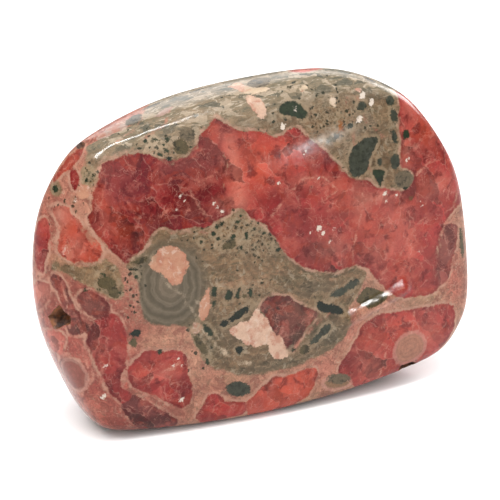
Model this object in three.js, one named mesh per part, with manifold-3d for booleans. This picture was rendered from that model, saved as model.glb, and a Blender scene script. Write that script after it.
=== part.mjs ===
// A rhodochrosite specimen: one polished freeform stone that stands on its long edge.
// Millimetres, +Z up. +X runs along the stone's length and -Y faces out of its broad front.
// The origin is on the surface the stone stands on, under the middle of its box.
import * as THREE from "three";
import { mergeVertices } from "three/addons/utils/BufferGeometryUtils.js";
import { ConvexGeometry } from "three/addons/geometries/ConvexGeometry.js";
import Module from "manifold-3d";

// ---- Driving dimensions ----
const HALF_LENGTH = 43;
const HALF_THICKNESS = 15;
const HALF_HEIGHT = 31.5;
const EDGE_SOFTNESS = 1.5; // how far a polished edge rounds off between two ground faces
const CROWN_RADIUS = 220; // every ground face bulges a little, like a piece of a big ball
const CROWN_CENTRE = new THREE.Vector3(-7.5, 0, 3);
const REST_FACE_DEPTH = 0.5; // ground off the lowest point, so that the stone stands
const GRID_DETAIL = 17;

// The faces that the lap ground, seen from the stone's centre. "around" turns in degrees from +X
// towards +Z, "lean" tips towards the back (+Y), and "reach" is the face's distance in mm.
const GROUND_FACES = [
  { name: "front", around: 113, lean: -81, reach: 12.8 },
  { name: "back", around: 90, lean: 88, reach: 16.2 },
  { name: "end right", around: 7, lean: 1, reach: 48.2 },
  { name: "shoulder right", around: 37, lean: -1, reach: 45.6 },
  { name: "crown right", around: 72, lean: -1, reach: 39.6 },
  { name: "crown", around: 100, lean: 0, reach: 32.0 },
  { name: "crown left", around: 112, lean: 0, reach: 41.6 },
  { name: "shoulder left", around: 135, lean: -6, reach: 46.6 },
  { name: "end left", around: 179, lean: -6, reach: 46.6 },
  { name: "heel left", around: 199, lean: 0, reach: 48.6 },
  { name: "base", around: 270, lean: -1, reach: 34.4 },
  { name: "heel right", around: 321, lean: 1, reach: 53.2 },
  { name: "front bevel left", around: 160, lean: -39, reach: 32.4 },
  { name: "front bevel top", around: 106, lean: -54, reach: 21.4 },
  { name: "back bevel right", around: 30, lean: 59, reach: 26.4 },
  { name: "back bevel top", around: 80, lean: 59, reach: 25.4 },
  { name: "back bevel top left", around: 130, lean: 59, reach: 28.2 },
  { name: "back bevel left", around: 180, lean: 59, reach: 31.8 },
  { name: "back bevel heel left", around: 230, lean: 59, reach: 30.4 },
  { name: "back bevel heel right", around: 310, lean: 59, reach: 25.4 },
];

// An angular vug on the left bevel: the corners of its mouth and of its floor, to the right and
// up in the plane of the surface there, from the point "at". The floor lies deep to the right.
const VUG = {
  at: new THREE.Vector3(-41.1, -1.9, -7.5),
  around: 171,
  lean: -29,
  mouth: [[-0.3, 2.4], [2.9, 0.5], [3.0, -0.9], [-1.2, -3.3], [-3.1, -1.0]],
  floor: [[0.6, 1.0], [2.5, 0.3], [2.5, -0.5], [0.6, -1.5], [-0.6, -0.6]],
  depth: 3.2,
  clearance: 1.0, // how far the mouth's corners stand out of the surface
};

// A shallow oval pit on the left shoulder, long across the stone's thickness.
const PIT = {
  at: new THREE.Vector3(-33.4, 4.0, 22.9),
  halfSizes: new THREE.Vector3(0.8, 1.5, 0.9),
  detail: 3,
};

// ---- The stone's outside ----
function directionOf(around, lean) {
  const turn = THREE.MathUtils.degToRad(around);
  const tip = THREE.MathUtils.degToRad(lean);
  return new THREE.Vector3(Math.cos(turn) * Math.cos(tip), Math.sin(tip), Math.sin(turn) * Math.cos(tip));
}

const faces = GROUND_FACES.map(({ around, lean, reach }) => ({ normal: directionOf(around, lean), reach }));

// Below zero inside the stone and above zero outside: a soft maximum over the ground faces, plus
// the bulge that the crown radius gives them.
function levelAt(point) {
  const levels = faces.map(({ normal, reach }) => normal.dot(point) - reach);
  const highest = Math.max(...levels);
  const sum = levels.reduce((total, level) => total + Math.exp((level - highest) / EDGE_SOFTNESS), 0);
  const bulge = point.distanceToSquared(CROWN_CENTRE) / (2 * CROWN_RADIUS);
  return highest + EDGE_SOFTNESS * Math.log(sum) + bulge;
}

// The distance from the centre to the outside along one direction, found by halving the interval.
function reachAlong(direction) {
  let near = 0;
  let far = 2 * HALF_LENGTH;
  const point = new THREE.Vector3();
  for (let step = 0; step < 40; step += 1) {
    const middle = (near + far) / 2;
    point.copy(direction).multiplyScalar(middle);
    if (levelAt(point) < 0) {
      near = middle;
    } else {
      far = middle;
    }
  }
  return (near + far) / 2;
}

// An even grid of triangles over a ball, stretched to the stone's proportions so that they stay
// even, then moved out to the ground faces along each direction.
function stoneOutside() {
  const geometry = new THREE.IcosahedronGeometry(1, GRID_DETAIL);
  const proportions = new THREE.Vector3(HALF_LENGTH, HALF_THICKNESS, HALF_HEIGHT);
  const positions = geometry.getAttribute("position");
  const direction = new THREE.Vector3();
  for (let index = 0; index < positions.count; index += 1) {
    direction.fromBufferAttribute(positions, index).multiply(proportions).normalize();
    direction.multiplyScalar(reachAlong(direction));
    positions.setXYZ(index, direction.x, direction.y, direction.z);
  }
  return geometry;
}

// ---- What is cut from it ----
function restCut(lowest) {
  const size = 4 * HALF_LENGTH;
  const block = new THREE.BoxGeometry(size, size, size);
  block.translate(0, 0, lowest + REST_FACE_DEPTH - size / 2);
  return block;
}

function vugCut() {
  const outward = directionOf(VUG.around, VUG.lean);
  const right = new THREE.Vector3(0, 0, 1).cross(outward).normalize();
  const up = outward.clone().cross(right);
  const corner = ([x, y], height) =>
    VUG.at.clone().addScaledVector(right, x).addScaledVector(up, y).addScaledVector(outward, height);
  const mouth = VUG.mouth.map((place) => corner(place, VUG.clearance));
  const floor = VUG.floor.map((place) => corner(place, -VUG.depth));
  return new ConvexGeometry([...mouth, ...floor]);
}

function pitCut() {
  const ball = new THREE.IcosahedronGeometry(1, PIT.detail);
  ball.scale(...PIT.halfSizes.toArray());
  ball.translate(...PIT.at.toArray());
  return ball;
}

// ---- Cutting ----
const wasm = await Module();
wasm.setup();

function solidOf(geometry) {
  const bare = geometry.clone();
  bare.deleteAttribute("normal");
  bare.deleteAttribute("uv");
  const merged = mergeVertices(bare, 1e-4);
  const mesh = new wasm.Mesh({
    numProp: 3,
    vertProperties: Float32Array.from(merged.getAttribute("position").array),
    triVerts: Uint32Array.from(merged.getIndex().array),
  });
  return new wasm.Manifold(mesh);
}

function geometryOf(solid) {
  const mesh = solid.getMesh();
  const geometry = new THREE.BufferGeometry();
  geometry.setAttribute("position", new THREE.BufferAttribute(mesh.vertProperties, mesh.numProp));
  geometry.setIndex(new THREE.BufferAttribute(mesh.triVerts, 1));
  geometry.computeVertexNormals();
  return geometry;
}

function rhodochrositeStone() {
  const outside = stoneOutside();
  outside.computeBoundingBox();
  const cuts = [restCut(outside.boundingBox.min.z), vugCut(), pitCut()];
  const solid = cuts.reduce((body, cut) => body.subtract(solidOf(cut)), solidOf(outside));
  const geometry = geometryOf(solid);
  geometry.computeBoundingBox();
  const { min, max } = geometry.boundingBox;
  geometry.translate(-(min.x + max.x) / 2, -(min.y + max.y) / 2, -min.z);
  const polish = new THREE.MeshStandardMaterial({ color: 0xb0524c, roughness: 0.15, metalness: 0 });
  const mesh = new THREE.Mesh(geometry, polish);
  mesh.name = "rhodochrosite_stone";
  return mesh;
}

const specimen = new THREE.Group();
specimen.add(rhodochrositeStone());

export default specimen;
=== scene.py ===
import math

import bmesh
import bpy
import numpy as np
from mathutils import Matrix, Vector, noise


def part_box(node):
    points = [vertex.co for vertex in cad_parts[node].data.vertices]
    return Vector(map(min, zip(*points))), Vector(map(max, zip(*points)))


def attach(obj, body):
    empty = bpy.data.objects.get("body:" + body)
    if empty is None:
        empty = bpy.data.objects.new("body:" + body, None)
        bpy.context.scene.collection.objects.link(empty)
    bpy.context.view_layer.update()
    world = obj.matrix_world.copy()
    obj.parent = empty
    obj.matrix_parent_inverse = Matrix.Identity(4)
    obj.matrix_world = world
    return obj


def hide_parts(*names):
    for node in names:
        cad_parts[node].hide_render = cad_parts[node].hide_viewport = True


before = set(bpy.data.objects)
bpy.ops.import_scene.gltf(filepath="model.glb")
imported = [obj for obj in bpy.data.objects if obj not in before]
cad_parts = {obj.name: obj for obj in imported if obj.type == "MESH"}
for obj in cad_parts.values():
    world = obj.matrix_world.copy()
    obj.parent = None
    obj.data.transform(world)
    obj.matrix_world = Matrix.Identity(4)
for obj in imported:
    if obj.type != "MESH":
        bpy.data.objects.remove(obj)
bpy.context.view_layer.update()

# A polished freeform of rhodochrosite: red and pink crystal in tan and olive matrix.
# The stone is worked out in its own frame, from its centre, +X along its length, +Z up and
# -Y out of its broad front. Lengths are millimetres until they meet Blender, which works in metres.

STONE = "rhodochrosite_stone"
MM = 0.001

# ---- The ground shape ----
HALF_LENGTH = 43.0
HALF_THICKNESS = 15.0
HALF_HEIGHT = 31.5
EDGE_SOFTNESS = 1.5
CROWN_RADIUS = 220.0
CROWN_CENTRE = (-7.5, 0.0, 3.0)
REST_FACE_DEPTH = 0.5
CELLS = (192, 64, 140)  # grid cells along, through and up the stone, about 0.45 mm each
HALVINGS = 24  # how often each search for the skin halves the gap that it is in
DOWNWARD_TURNS = (240, 300, 0.5)  # directions that look down: from, to and step, in degrees
DOWNWARD_TIPS = (-30, 30, 0.5)
SHARP_ANGLE = 38  # in degrees: steeper edges than this stay crisp

# Each face that the lap ground: its turn from +X towards +Z, its tip towards the back, both in
# degrees, and its reach from the centre.
GROUND_FACES = {
    "front": (113, -81, 12.8),
    "back": (90, 88, 16.2),
    "end right": (7, 1, 48.2),
    "shoulder right": (37, -1, 45.6),
    "crown right": (72, -1, 39.6),
    "crown": (100, 0, 32.0),
    "crown left": (112, 0, 41.6),
    "shoulder left": (135, -6, 46.6),
    "end left": (179, -6, 46.6),
    "heel left": (199, 0, 48.6),
    "base": (270, -1, 34.4),
    "heel right": (321, 1, 53.2),
    "front bevel left": (160, -39, 32.4),
    "front bevel top": (106, -54, 21.4),
    "back bevel right": (30, 59, 26.4),
    "back bevel top": (80, 59, 25.4),
    "back bevel top left": (130, 59, 28.2),
    "back bevel left": (180, 59, 31.8),
    "back bevel heel left": (230, 59, 30.4),
    "back bevel heel right": (310, 59, 25.4),
}

# The vug on the left bevel: corners of its mouth and of its floor, right and up from its middle.
VUG_MIDDLE = (-41.1, -1.9, -7.5)
VUG_FACING = (171, -29)
VUG_MOUTH = [(-0.3, 2.4), (2.9, 0.5), (3.0, -0.9), (-1.2, -3.3), (-3.1, -1.0)]
VUG_FLOOR = [(0.6, 1.0), (2.5, 0.3), (2.5, -0.5), (0.6, -1.5), (-0.6, -0.6)]
VUG_DEPTH = 3.2
VUG_CLEARANCE = 1.0
VUG_WANDER = 0.22
VUG_CUTS = 11  # how finely its sides are divided before they are roughened

# A shallow pit on the left shoulder, and two chips along the bottom front edge: their middles,
# their half sizes and how much their floors wander.
PITS = [
    ((-33.4, 4.0, 22.9), (0.8, 1.5, 0.9), 0.1),
    ((3.5, -12.0, -31.2), (4.4, 2.4, 1.2), 0.35),
    ((27.6, -11.6, -27.4), (2.4, 1.9, 1.2), 0.55),
]

# What makes a floor wander: broad and fine waves a millimetre, the fine ones' share, and their seed.
BROAD_WAVES = 0.7
FINE_WAVES = 2.3
FINE_SHARE = 0.4
BREAK_SEED = 7

# ---- Colours, red, green and blue out of 255 ----
DEEP_RED = (88, 17, 22)
RASPBERRY = (116, 33, 37)
CRIMSON = (150, 56, 54)
CORAL = (188, 88, 72)
SALMON = (196, 112, 98)
PALE_PINK = (208, 150, 130)
ROSE = (196, 124, 108)
MAUVE = (124, 74, 66)
DUSK_MAUVE = (78, 52, 44)
DUSTY_ROSE = (158, 96, 86)
PLUM = (92, 48, 46)
TAN_PINK = (180, 132, 110)
TAN = (172, 134, 106)
KHAKI = (144, 114, 86)
OLIVE = (128, 101, 76)
DARK_OLIVE = (92, 80, 56)
GREY_OLIVE = (112, 98, 79)
GREY = (108, 98, 84)
PALE_GREY = (172, 154, 132)
CREAM = (218, 194, 166)
ASH_PINK = (180, 152, 138)
PEACH = (202, 150, 124)
WHITE_PEACH = (222, 186, 162)
# Painted glint: the pale of light caught by little cleavage faces.
PAINTED_GLINT = (236, 220, 204)
BLACK_GREEN = (26, 34, 24)
BOTTLE_GREEN = (44, 54, 36)
SLATE_GREEN = (66, 68, 56)
BROWN = (104, 66, 44)
RUST = (150, 92, 50)

# Coats that the looks lay over those, named for what they draw.
BLUSH_RED = (134, 76, 68)
OLIVE_SHADE = (84, 74, 52)
OLIVE_LIGHT = (166, 140, 112)
DARK_CRUMB = (62, 58, 42)
CRUMB_EDGE = (180, 158, 130)
OLIVE_VEIN = (186, 164, 138)
GRAVEL = (92, 93, 74)
CHALK = (190, 174, 150)
# The crown's greyer matrix, paled further as a painted sheen where the top catches the light.
CROWN_GREY_AND_SHEEN = (152, 140, 117)
DARK_STREAK = (98, 97, 82)
LIGHT_STREAK = (216, 200, 178)
DARK_SHARD = (72, 76, 66)
LIGHT_SHARD = (206, 186, 162)
EYE_GROUND = (96, 86, 70)
EYE_BAND = (134, 120, 102)
EYE_LINE = (80, 72, 54)
EYE_CORE = (134, 118, 100)
HAZE = (192, 104, 94)
EMBER = (186, 78, 58)
MILK = (194, 108, 96)
FROST = (212, 142, 128)
LACE = (222, 166, 150)
BROAD_VEIN = (214, 150, 132)
THIN_VEIN = (210, 140, 122)
LARGE_CRACK = (220, 160, 142)
SMALL_CRACK = (214, 140, 120)
WEB = (186, 166, 138)
SPECK = (40, 44, 30)
RIM = (204, 160, 138)
ORB_RING = (128, 96, 80)
ORB_SHELL = (206, 156, 140)
LUMP_BLUSH = (186, 118, 96)
LUMP_CHALK = (234, 210, 192)
MOSS = (88, 90, 68)
PITCH = (24, 28, 20)
HALO = (178, 156, 128)
SOOT = (30, 16, 10)


# ---- Node wiring ----
class Wiring:
    """Adds nodes to one tree and links them, so that a graph reads as nested calls."""

    def __init__(self, tree):
        self.tree = tree

    def feed(self, socket, value):
        if isinstance(value, bpy.types.NodeSocket):
            self.tree.links.new(value, socket)
        else:
            socket.default_value = value

    def node(self, kind, inputs=None, **settings):
        made = self.tree.nodes.new(kind)
        for name, value in settings.items():
            setattr(made, name, value)
        for name, value in (inputs or {}).items():
            self.feed(made.inputs[name], value)
        return made

    def math(self, operation, *values):
        made = self.node("ShaderNodeMath", operation=operation)
        for socket, value in zip(made.inputs, values):
            self.feed(socket, value)
        return made.outputs["Value"]

    def vector(self, operation, *values):
        made = self.node("ShaderNodeVectorMath", operation=operation)
        for socket, value in zip(made.inputs, values):
            self.feed(socket, value)
        return made.outputs["Value" if operation in ("DOT_PRODUCT", "LENGTH") else "Vector"]

    def scaled(self, vector, factor):
        made = self.node("ShaderNodeVectorMath", {"Scale": factor}, operation="SCALE")
        self.feed(made.inputs[0], vector)
        return made.outputs["Vector"]

    def mix(self, factor, first, second, blend="MIX"):
        made = self.node("ShaderNodeMix", data_type="RGBA", blend_type=blend)
        sockets = {socket.identifier: socket for socket in made.inputs}
        self.feed(sockets["Factor_Float"], factor)
        self.feed(sockets["A_Color"], first)
        self.feed(sockets["B_Color"], second)
        return next(socket for socket in made.outputs if socket.identifier == "Result_Color")

    def ramp(self, value, low, high, bottom=0.0, top=1.0):
        inputs = {"Value": value, "From Min": low, "From Max": high, "To Min": bottom, "To Max": top}
        return self.node("ShaderNodeMapRange", inputs, interpolation_type="SMOOTHSTEP").outputs["Result"]

    def fall(self, value, low, high):
        return self.ramp(value, low, high, bottom=1.0, top=0.0)

    def noise(self, place, scale, detail=3.0, roughness=0.55, distortion=0.0, output="Fac"):
        inputs = {"Vector": place, "Scale": scale, "Detail": detail, "Roughness": roughness}
        made = self.node("ShaderNodeTexNoise", {**inputs, "Distortion": distortion})
        return made.outputs[output]

    def cells(self, place, scale, feature="F1", output="Distance"):
        made = self.node("ShaderNodeTexVoronoi", feature=feature)
        self.feed(made.inputs["Vector"], place)
        self.feed(made.inputs["Scale"], scale)
        return made.outputs[output]

    def attribute(self, name, output="Fac"):
        return self.node("ShaderNodeAttribute", attribute_name=name).outputs[output]

    def group(self, tree, inputs):
        """Places a node group, and gives its outputs."""
        kinds = {"GeometryNodeTree": "GeometryNodeGroup", "ShaderNodeTree": "ShaderNodeGroup"}
        made = self.node(kinds[tree.bl_idname])
        made.node_tree = tree
        for name, value in inputs.items():
            self.feed(made.inputs[name], value)
        return made.outputs


def new_group(name, kind, inputs, outputs):
    """Makes a node group. Each input is given its short type and default, each output its short type.

    Returns its wiring, the inputs that it is given and the outputs that it feeds.
    """
    tree = bpy.data.node_groups.new(name, kind)
    for label, (short, default) in inputs.items():
        socket = tree.interface.new_socket(label, in_out="INPUT", socket_type="NodeSocket" + short)
        if default is not None:
            socket.default_value = default
    for label, short in outputs.items():
        tree.interface.new_socket(label, in_out="OUTPUT", socket_type="NodeSocket" + short)
    wire = Wiring(tree)
    return wire, wire.node("NodeGroupInput").outputs, wire.node("NodeGroupOutput").inputs


def colour(tint):
    """A colour out of 255, as light."""
    parts = [channel / 255 for channel in tint]
    lit = [part / 12.92 if part <= 0.04045 else ((part + 0.055) / 1.055) ** 2.4 for part in parts]
    return (*lit, 1.0)


# ---- The stone's outside, as a rule ----
def direction_of(around, lean):
    turn, tip = math.radians(around), math.radians(lean)
    return Vector((math.cos(turn) * math.cos(tip), math.sin(tip), math.sin(turn) * math.cos(tip)))


FACE_NORMALS = np.array([direction_of(around, lean) for around, lean, reach in GROUND_FACES.values()])
FACE_REACHES = np.array([reach for around, lean, reach in GROUND_FACES.values()])


def levels_at(points):
    """Heights of points over the ground skin, and the skin's outward directions there."""
    levels = points @ FACE_NORMALS.T - FACE_REACHES
    highest = levels.max(axis=1, keepdims=True)
    shares = np.exp((levels - highest) / EDGE_SOFTNESS)
    total = shares.sum(axis=1, keepdims=True)
    away = points - np.array(CROWN_CENTRE)
    heights = highest[:, 0] + EDGE_SOFTNESS * np.log(total[:, 0])
    heights += (away ** 2).sum(axis=1) / (2 * CROWN_RADIUS)
    slopes = (shares / total) @ FACE_NORMALS + away / CROWN_RADIUS
    return heights, slopes / np.linalg.norm(slopes, axis=1, keepdims=True)


def lowest_height():
    """The height of the skin's lowest point, found along directions that look down."""
    turns, tips = np.meshgrid(np.arange(*DOWNWARD_TURNS), np.arange(*DOWNWARD_TIPS))
    turns, tips = np.radians(turns), np.radians(tips)
    rays = np.stack([np.cos(turns) * np.cos(tips), np.sin(tips), np.sin(turns) * np.cos(tips)], axis=-1)
    rays = rays.reshape(-1, 3)
    near, far = np.zeros(len(rays)), np.full(len(rays), 2 * HALF_LENGTH)
    for _ in range(HALVINGS):
        middle = (near + far) / 2
        inside = levels_at(rays * middle[:, None])[0] < 0
        near, far = np.where(inside, middle, near), np.where(inside, far, middle)
    return float((rays[:, 2] * near).min())


def ground_skin_group():
    wire, given, result = new_group(
        "Height over the ground skin",
        "GeometryNodeTree",
        {
            "Point": ("Vector", None),
            "Edge Softness": ("Float", EDGE_SOFTNESS * MM),
            "Crown Radius": ("Float", CROWN_RADIUS * MM),
            "Crown Centre": ("Vector", None),
        },
        {"Height": "Float"},
    )
    total = 0.0
    for normal, reach in zip(FACE_NORMALS, FACE_REACHES):
        along = wire.vector("DOT_PRODUCT", given["Point"], tuple(normal))
        past = wire.math("SUBTRACT", along, reach * MM)
        share = wire.math("EXPONENT", wire.math("DIVIDE", past, given["Edge Softness"]))
        total = wire.math("ADD", share, total)
    softened = wire.math("MULTIPLY", wire.math("LOGARITHM", total, math.e), given["Edge Softness"])
    away = wire.vector("SUBTRACT", given["Point"], given["Crown Centre"])
    spread = wire.vector("DOT_PRODUCT", away, away)
    bulge = wire.math("DIVIDE", spread, wire.math("MULTIPLY", given["Crown Radius"], 2.0))
    wire.feed(result["Height"], wire.math("ADD", softened, bulge))
    return wire.tree


def ground_stone_tree():
    """Moves a closed box of even cells out to the ground skin, and grinds the rest face flat."""
    wire, given, result = new_group(
        "Ground stone",
        "GeometryNodeTree",
        {
            "Half Length": ("Float", HALF_LENGTH * MM),
            "Half Thickness": ("Float", HALF_THICKNESS * MM),
            "Half Height": ("Float", HALF_HEIGHT * MM),
            "Edge Softness": ("Float", EDGE_SOFTNESS * MM),
            "Crown Radius": ("Float", CROWN_RADIUS * MM),
            "Crown Centre": ("Vector", None),
            "Rest Face Height": ("Float", 0.0),
            "Cells Along": ("Int", CELLS[0]),
            "Cells Through": ("Int", CELLS[1]),
            "Cells Up": ("Int", CELLS[2]),
            "Halvings": ("Int", HALVINGS),
            "Surface": ("Material", None),
        },
        {"Geometry": "Geometry"},
    )
    halves = wire.node("ShaderNodeCombineXYZ")
    for axis, label in zip("XYZ", ("Half Length", "Half Thickness", "Half Height")):
        wire.feed(halves.inputs[axis], given[label])
    box = wire.node(
        "GeometryNodeMeshCube",
        {
            "Size": wire.scaled(halves.outputs["Vector"], 2.0),
            "Vertices X": given["Cells Along"],
            "Vertices Y": given["Cells Through"],
            "Vertices Z": given["Cells Up"],
        },
    )
    ray = wire.vector("NORMALIZE", wire.node("GeometryNodeInputPosition").outputs["Position"])
    start = wire.node("GeometryNodeRepeatInput")
    end = wire.node("GeometryNodeRepeatOutput")
    start.pair_with_output(end)
    end.repeat_items.clear()
    end.repeat_items.new("FLOAT", "Near")
    end.repeat_items.new("FLOAT", "Far")
    wire.feed(start.inputs["Iterations"], given["Halvings"])
    wire.feed(start.inputs["Near"], 0.0)
    wire.feed(start.inputs["Far"], wire.math("MULTIPLY", given["Half Length"], 2.0))
    near, far = start.outputs["Near"], start.outputs["Far"]
    middle = wire.math("MULTIPLY", wire.math("ADD", near, far), 0.5)
    shape = {label: given[label] for label in ("Edge Softness", "Crown Radius", "Crown Centre")}
    height = wire.group(ground_skin_group(), {"Point": wire.scaled(ray, middle), **shape})["Height"]
    inside = wire.math("LESS_THAN", height, 0.0)
    for label, still, moved in (("Near", near, inside), ("Far", far, wire.math("SUBTRACT", 1.0, inside))):
        choice = wire.node("ShaderNodeMix", data_type="FLOAT")
        wire.feed(choice.inputs[0], moved)
        wire.feed(choice.inputs[2], still)
        wire.feed(choice.inputs[3], middle)
        wire.feed(end.inputs[label], choice.outputs[0])
    reached = wire.node("ShaderNodeSeparateXYZ", {"Vector": wire.scaled(ray, end.outputs["Near"])})
    standing = wire.node("ShaderNodeCombineXYZ")
    wire.feed(standing.inputs["X"], reached.outputs["X"])
    wire.feed(standing.inputs["Y"], reached.outputs["Y"])
    wire.feed(standing.inputs["Z"], wire.math("MAXIMUM", reached.outputs["Z"], given["Rest Face Height"]))
    ground = wire.node("GeometryNodeSetPosition", {"Geometry": box.outputs["Mesh"]})
    wire.feed(ground.inputs["Position"], standing.outputs["Vector"])
    real = wire.node("GeometryNodeRealizeInstances", {"Geometry": ground.outputs["Geometry"]})
    finished = wire.node("GeometryNodeSetMaterial", {"Geometry": real.outputs["Geometry"]})
    wire.feed(finished.inputs["Material"], given["Surface"])
    wire.feed(result["Geometry"], finished.outputs["Geometry"])
    return wire.tree


def set_inputs(modifier, values):
    """Sets a tree's inputs on its modifier, each by its socket's identifier."""
    for item in modifier.node_group.interface.items_tree:
        if item.item_type == "SOCKET" and item.in_out == "INPUT" and item.name in values:
            modifier[item.identifier] = values[item.name]


def in_scene(name, mesh):
    piece = bpy.data.objects.new(name, mesh)
    bpy.context.scene.collection.objects.link(piece)
    return piece


def settled_mesh(holder):
    """The holder's mesh with its modifiers in it. The holder is then removed."""
    evaluated = holder.evaluated_get(bpy.context.evaluated_depsgraph_get())
    mesh = bpy.data.meshes.new_from_object(evaluated)
    bpy.data.objects.remove(holder)
    return mesh


def stone_outside(surface):
    holder = in_scene("stone_blank", bpy.data.meshes.new("stone_blank"))
    modifier = holder.modifiers.new("Ground stone", "NODES")
    modifier.node_group = ground_stone_tree()
    crown_centre = [part * MM for part in CROWN_CENTRE]
    rest_height = (lowest_height() + REST_FACE_DEPTH) * MM
    set_inputs(modifier, {"Crown Centre": crown_centre, "Rest Face Height": rest_height, "Surface": surface})
    return settled_mesh(holder)


# ---- What is missing from it ----
def roughened(shape, wander):
    """Moves a cutter's vertices about, so that the hollow it leaves is a broken one."""
    noise.seed_set(BREAK_SEED)
    for vertex in shape.verts:
        broad = noise.noise_vector(vertex.co * BROAD_WAVES)
        fine = noise.noise_vector(vertex.co * FINE_WAVES)
        vertex.co += (broad + fine * FINE_SHARE) * wander


def cutter_object(name, shape, lining):
    bmesh.ops.recalc_face_normals(shape, faces=shape.faces)
    bmesh.ops.scale(shape, vec=(MM, MM, MM), verts=shape.verts)
    mesh = bpy.data.meshes.new(name)
    shape.to_mesh(mesh)
    shape.free()
    mesh.materials.append(None)
    mesh.materials.append(lining)
    mesh.polygons.foreach_set("material_index", [1] * len(mesh.polygons))
    return in_scene(name, mesh)


def vug_cutter(lining):
    outward = direction_of(*VUG_FACING)
    right = Vector((0, 0, 1)).cross(outward).normalized()
    up = outward.cross(right)
    shape = bmesh.new()
    for corners, height in ((VUG_MOUTH, VUG_CLEARANCE), (VUG_FLOOR, -VUG_DEPTH)):
        for across, along in corners:
            shape.verts.new(Vector(VUG_MIDDLE) + right * across + up * along + outward * height)
    hull = bmesh.ops.convex_hull(shape, input=shape.verts)
    bmesh.ops.delete(shape, geom=hull["geom_interior"] + hull["geom_unused"], context="VERTS")
    bmesh.ops.subdivide_edges(shape, edges=shape.edges, cuts=VUG_CUTS, use_grid_fill=True)
    bmesh.ops.triangulate(shape, faces=shape.faces)
    roughened(shape, VUG_WANDER)
    return cutter_object("vug_cutter", shape, lining)


def pit_cutter(middle, half_sizes, wander, lining):
    shape = bmesh.new()
    bmesh.ops.create_icosphere(shape, subdivisions=4, radius=1.0)
    bmesh.ops.scale(shape, vec=half_sizes, verts=shape.verts)
    bmesh.ops.translate(shape, vec=middle, verts=shape.verts)
    roughened(shape, wander)
    return cutter_object("pit_cutter", shape, lining)


def without_crumbs(mesh):
    """Keeps the mesh's largest part, so that no loose crumb is left in a hollow."""
    shape = bmesh.new()
    shape.from_mesh(mesh)
    waiting = set(shape.verts)
    parts = []
    while waiting:
        part = {waiting.pop()}
        edge_of_part = list(part)
        while edge_of_part:
            vertex = edge_of_part.pop()
            for edge in vertex.link_edges:
                other = edge.other_vert(vertex)
                if other not in part:
                    part.add(other)
                    edge_of_part.append(other)
        waiting -= part
        parts.append(part)
    parts.sort(key=len)
    crumbs = [vertex for part in parts[:-1] for vertex in part]
    bmesh.ops.delete(shape, geom=crumbs, context="VERTS")
    shape.to_mesh(mesh)
    shape.free()


def cut_stone(outside, lining):
    """Takes the hollows out of the stone. Their faces come from the cutters' second material."""
    outside.materials.append(lining)
    holder = in_scene("stone_cut", outside)
    cutters = [vug_cutter(lining)] + [pit_cutter(*pit, lining) for pit in PITS]
    for cutter in cutters:
        modifier = holder.modifiers.new(cutter.name, "BOOLEAN")
        modifier.operation = "DIFFERENCE"
        modifier.solver = "MANIFOLD"
        modifier.object = cutter
    mesh = settled_mesh(holder)
    for cutter in cutters:
        bpy.data.objects.remove(cutter)
    without_crumbs(mesh)
    return mesh


# ---- Where the pattern lies ----
# A chart is a flat view of the stone that outlines are drawn in: its right and up directions,
# the way that it faces, and the point that it is measured from. It holds where the skin faces it.
FRONT = {"right": (1, 0, 0), "up": (0, 0, 1), "facing": (0, -1, 0), "from": (0, 0, 0)}
TOP = {"right": (1, 0, 0), "up": (0, 1, 0), "facing": (0, 0, 1), "from": (0, 0, 0)}
CORNER = {"right": (0.5, -0.866, 0), "up": (0, 0, 1), "facing": (-0.866, -0.5, 0), "from": (-41, -2, 0)}
CHART_EDGE = 0.3  # a chart holds while its direction and the skin's have at least this in common
CHART_FADE = 0.2  # past that edge its marks shrink away, and are gone when they have so much less
FADE_STEEPNESS = 30.0  # millimetres that a mark shrinks for each whole unit past the edge
BEYOND = -6.0  # depths outside an outline aren't told apart past this
SEAM_SHARE = 0.8  # a seam's depth, as a share of the gap in depth between the outlines beside it
CORNER_CUT = 0.22  # how much of each side an outline loses at either end when it is rounded
GRAIN_REACH = 3  # no grain's half size is larger

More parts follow.
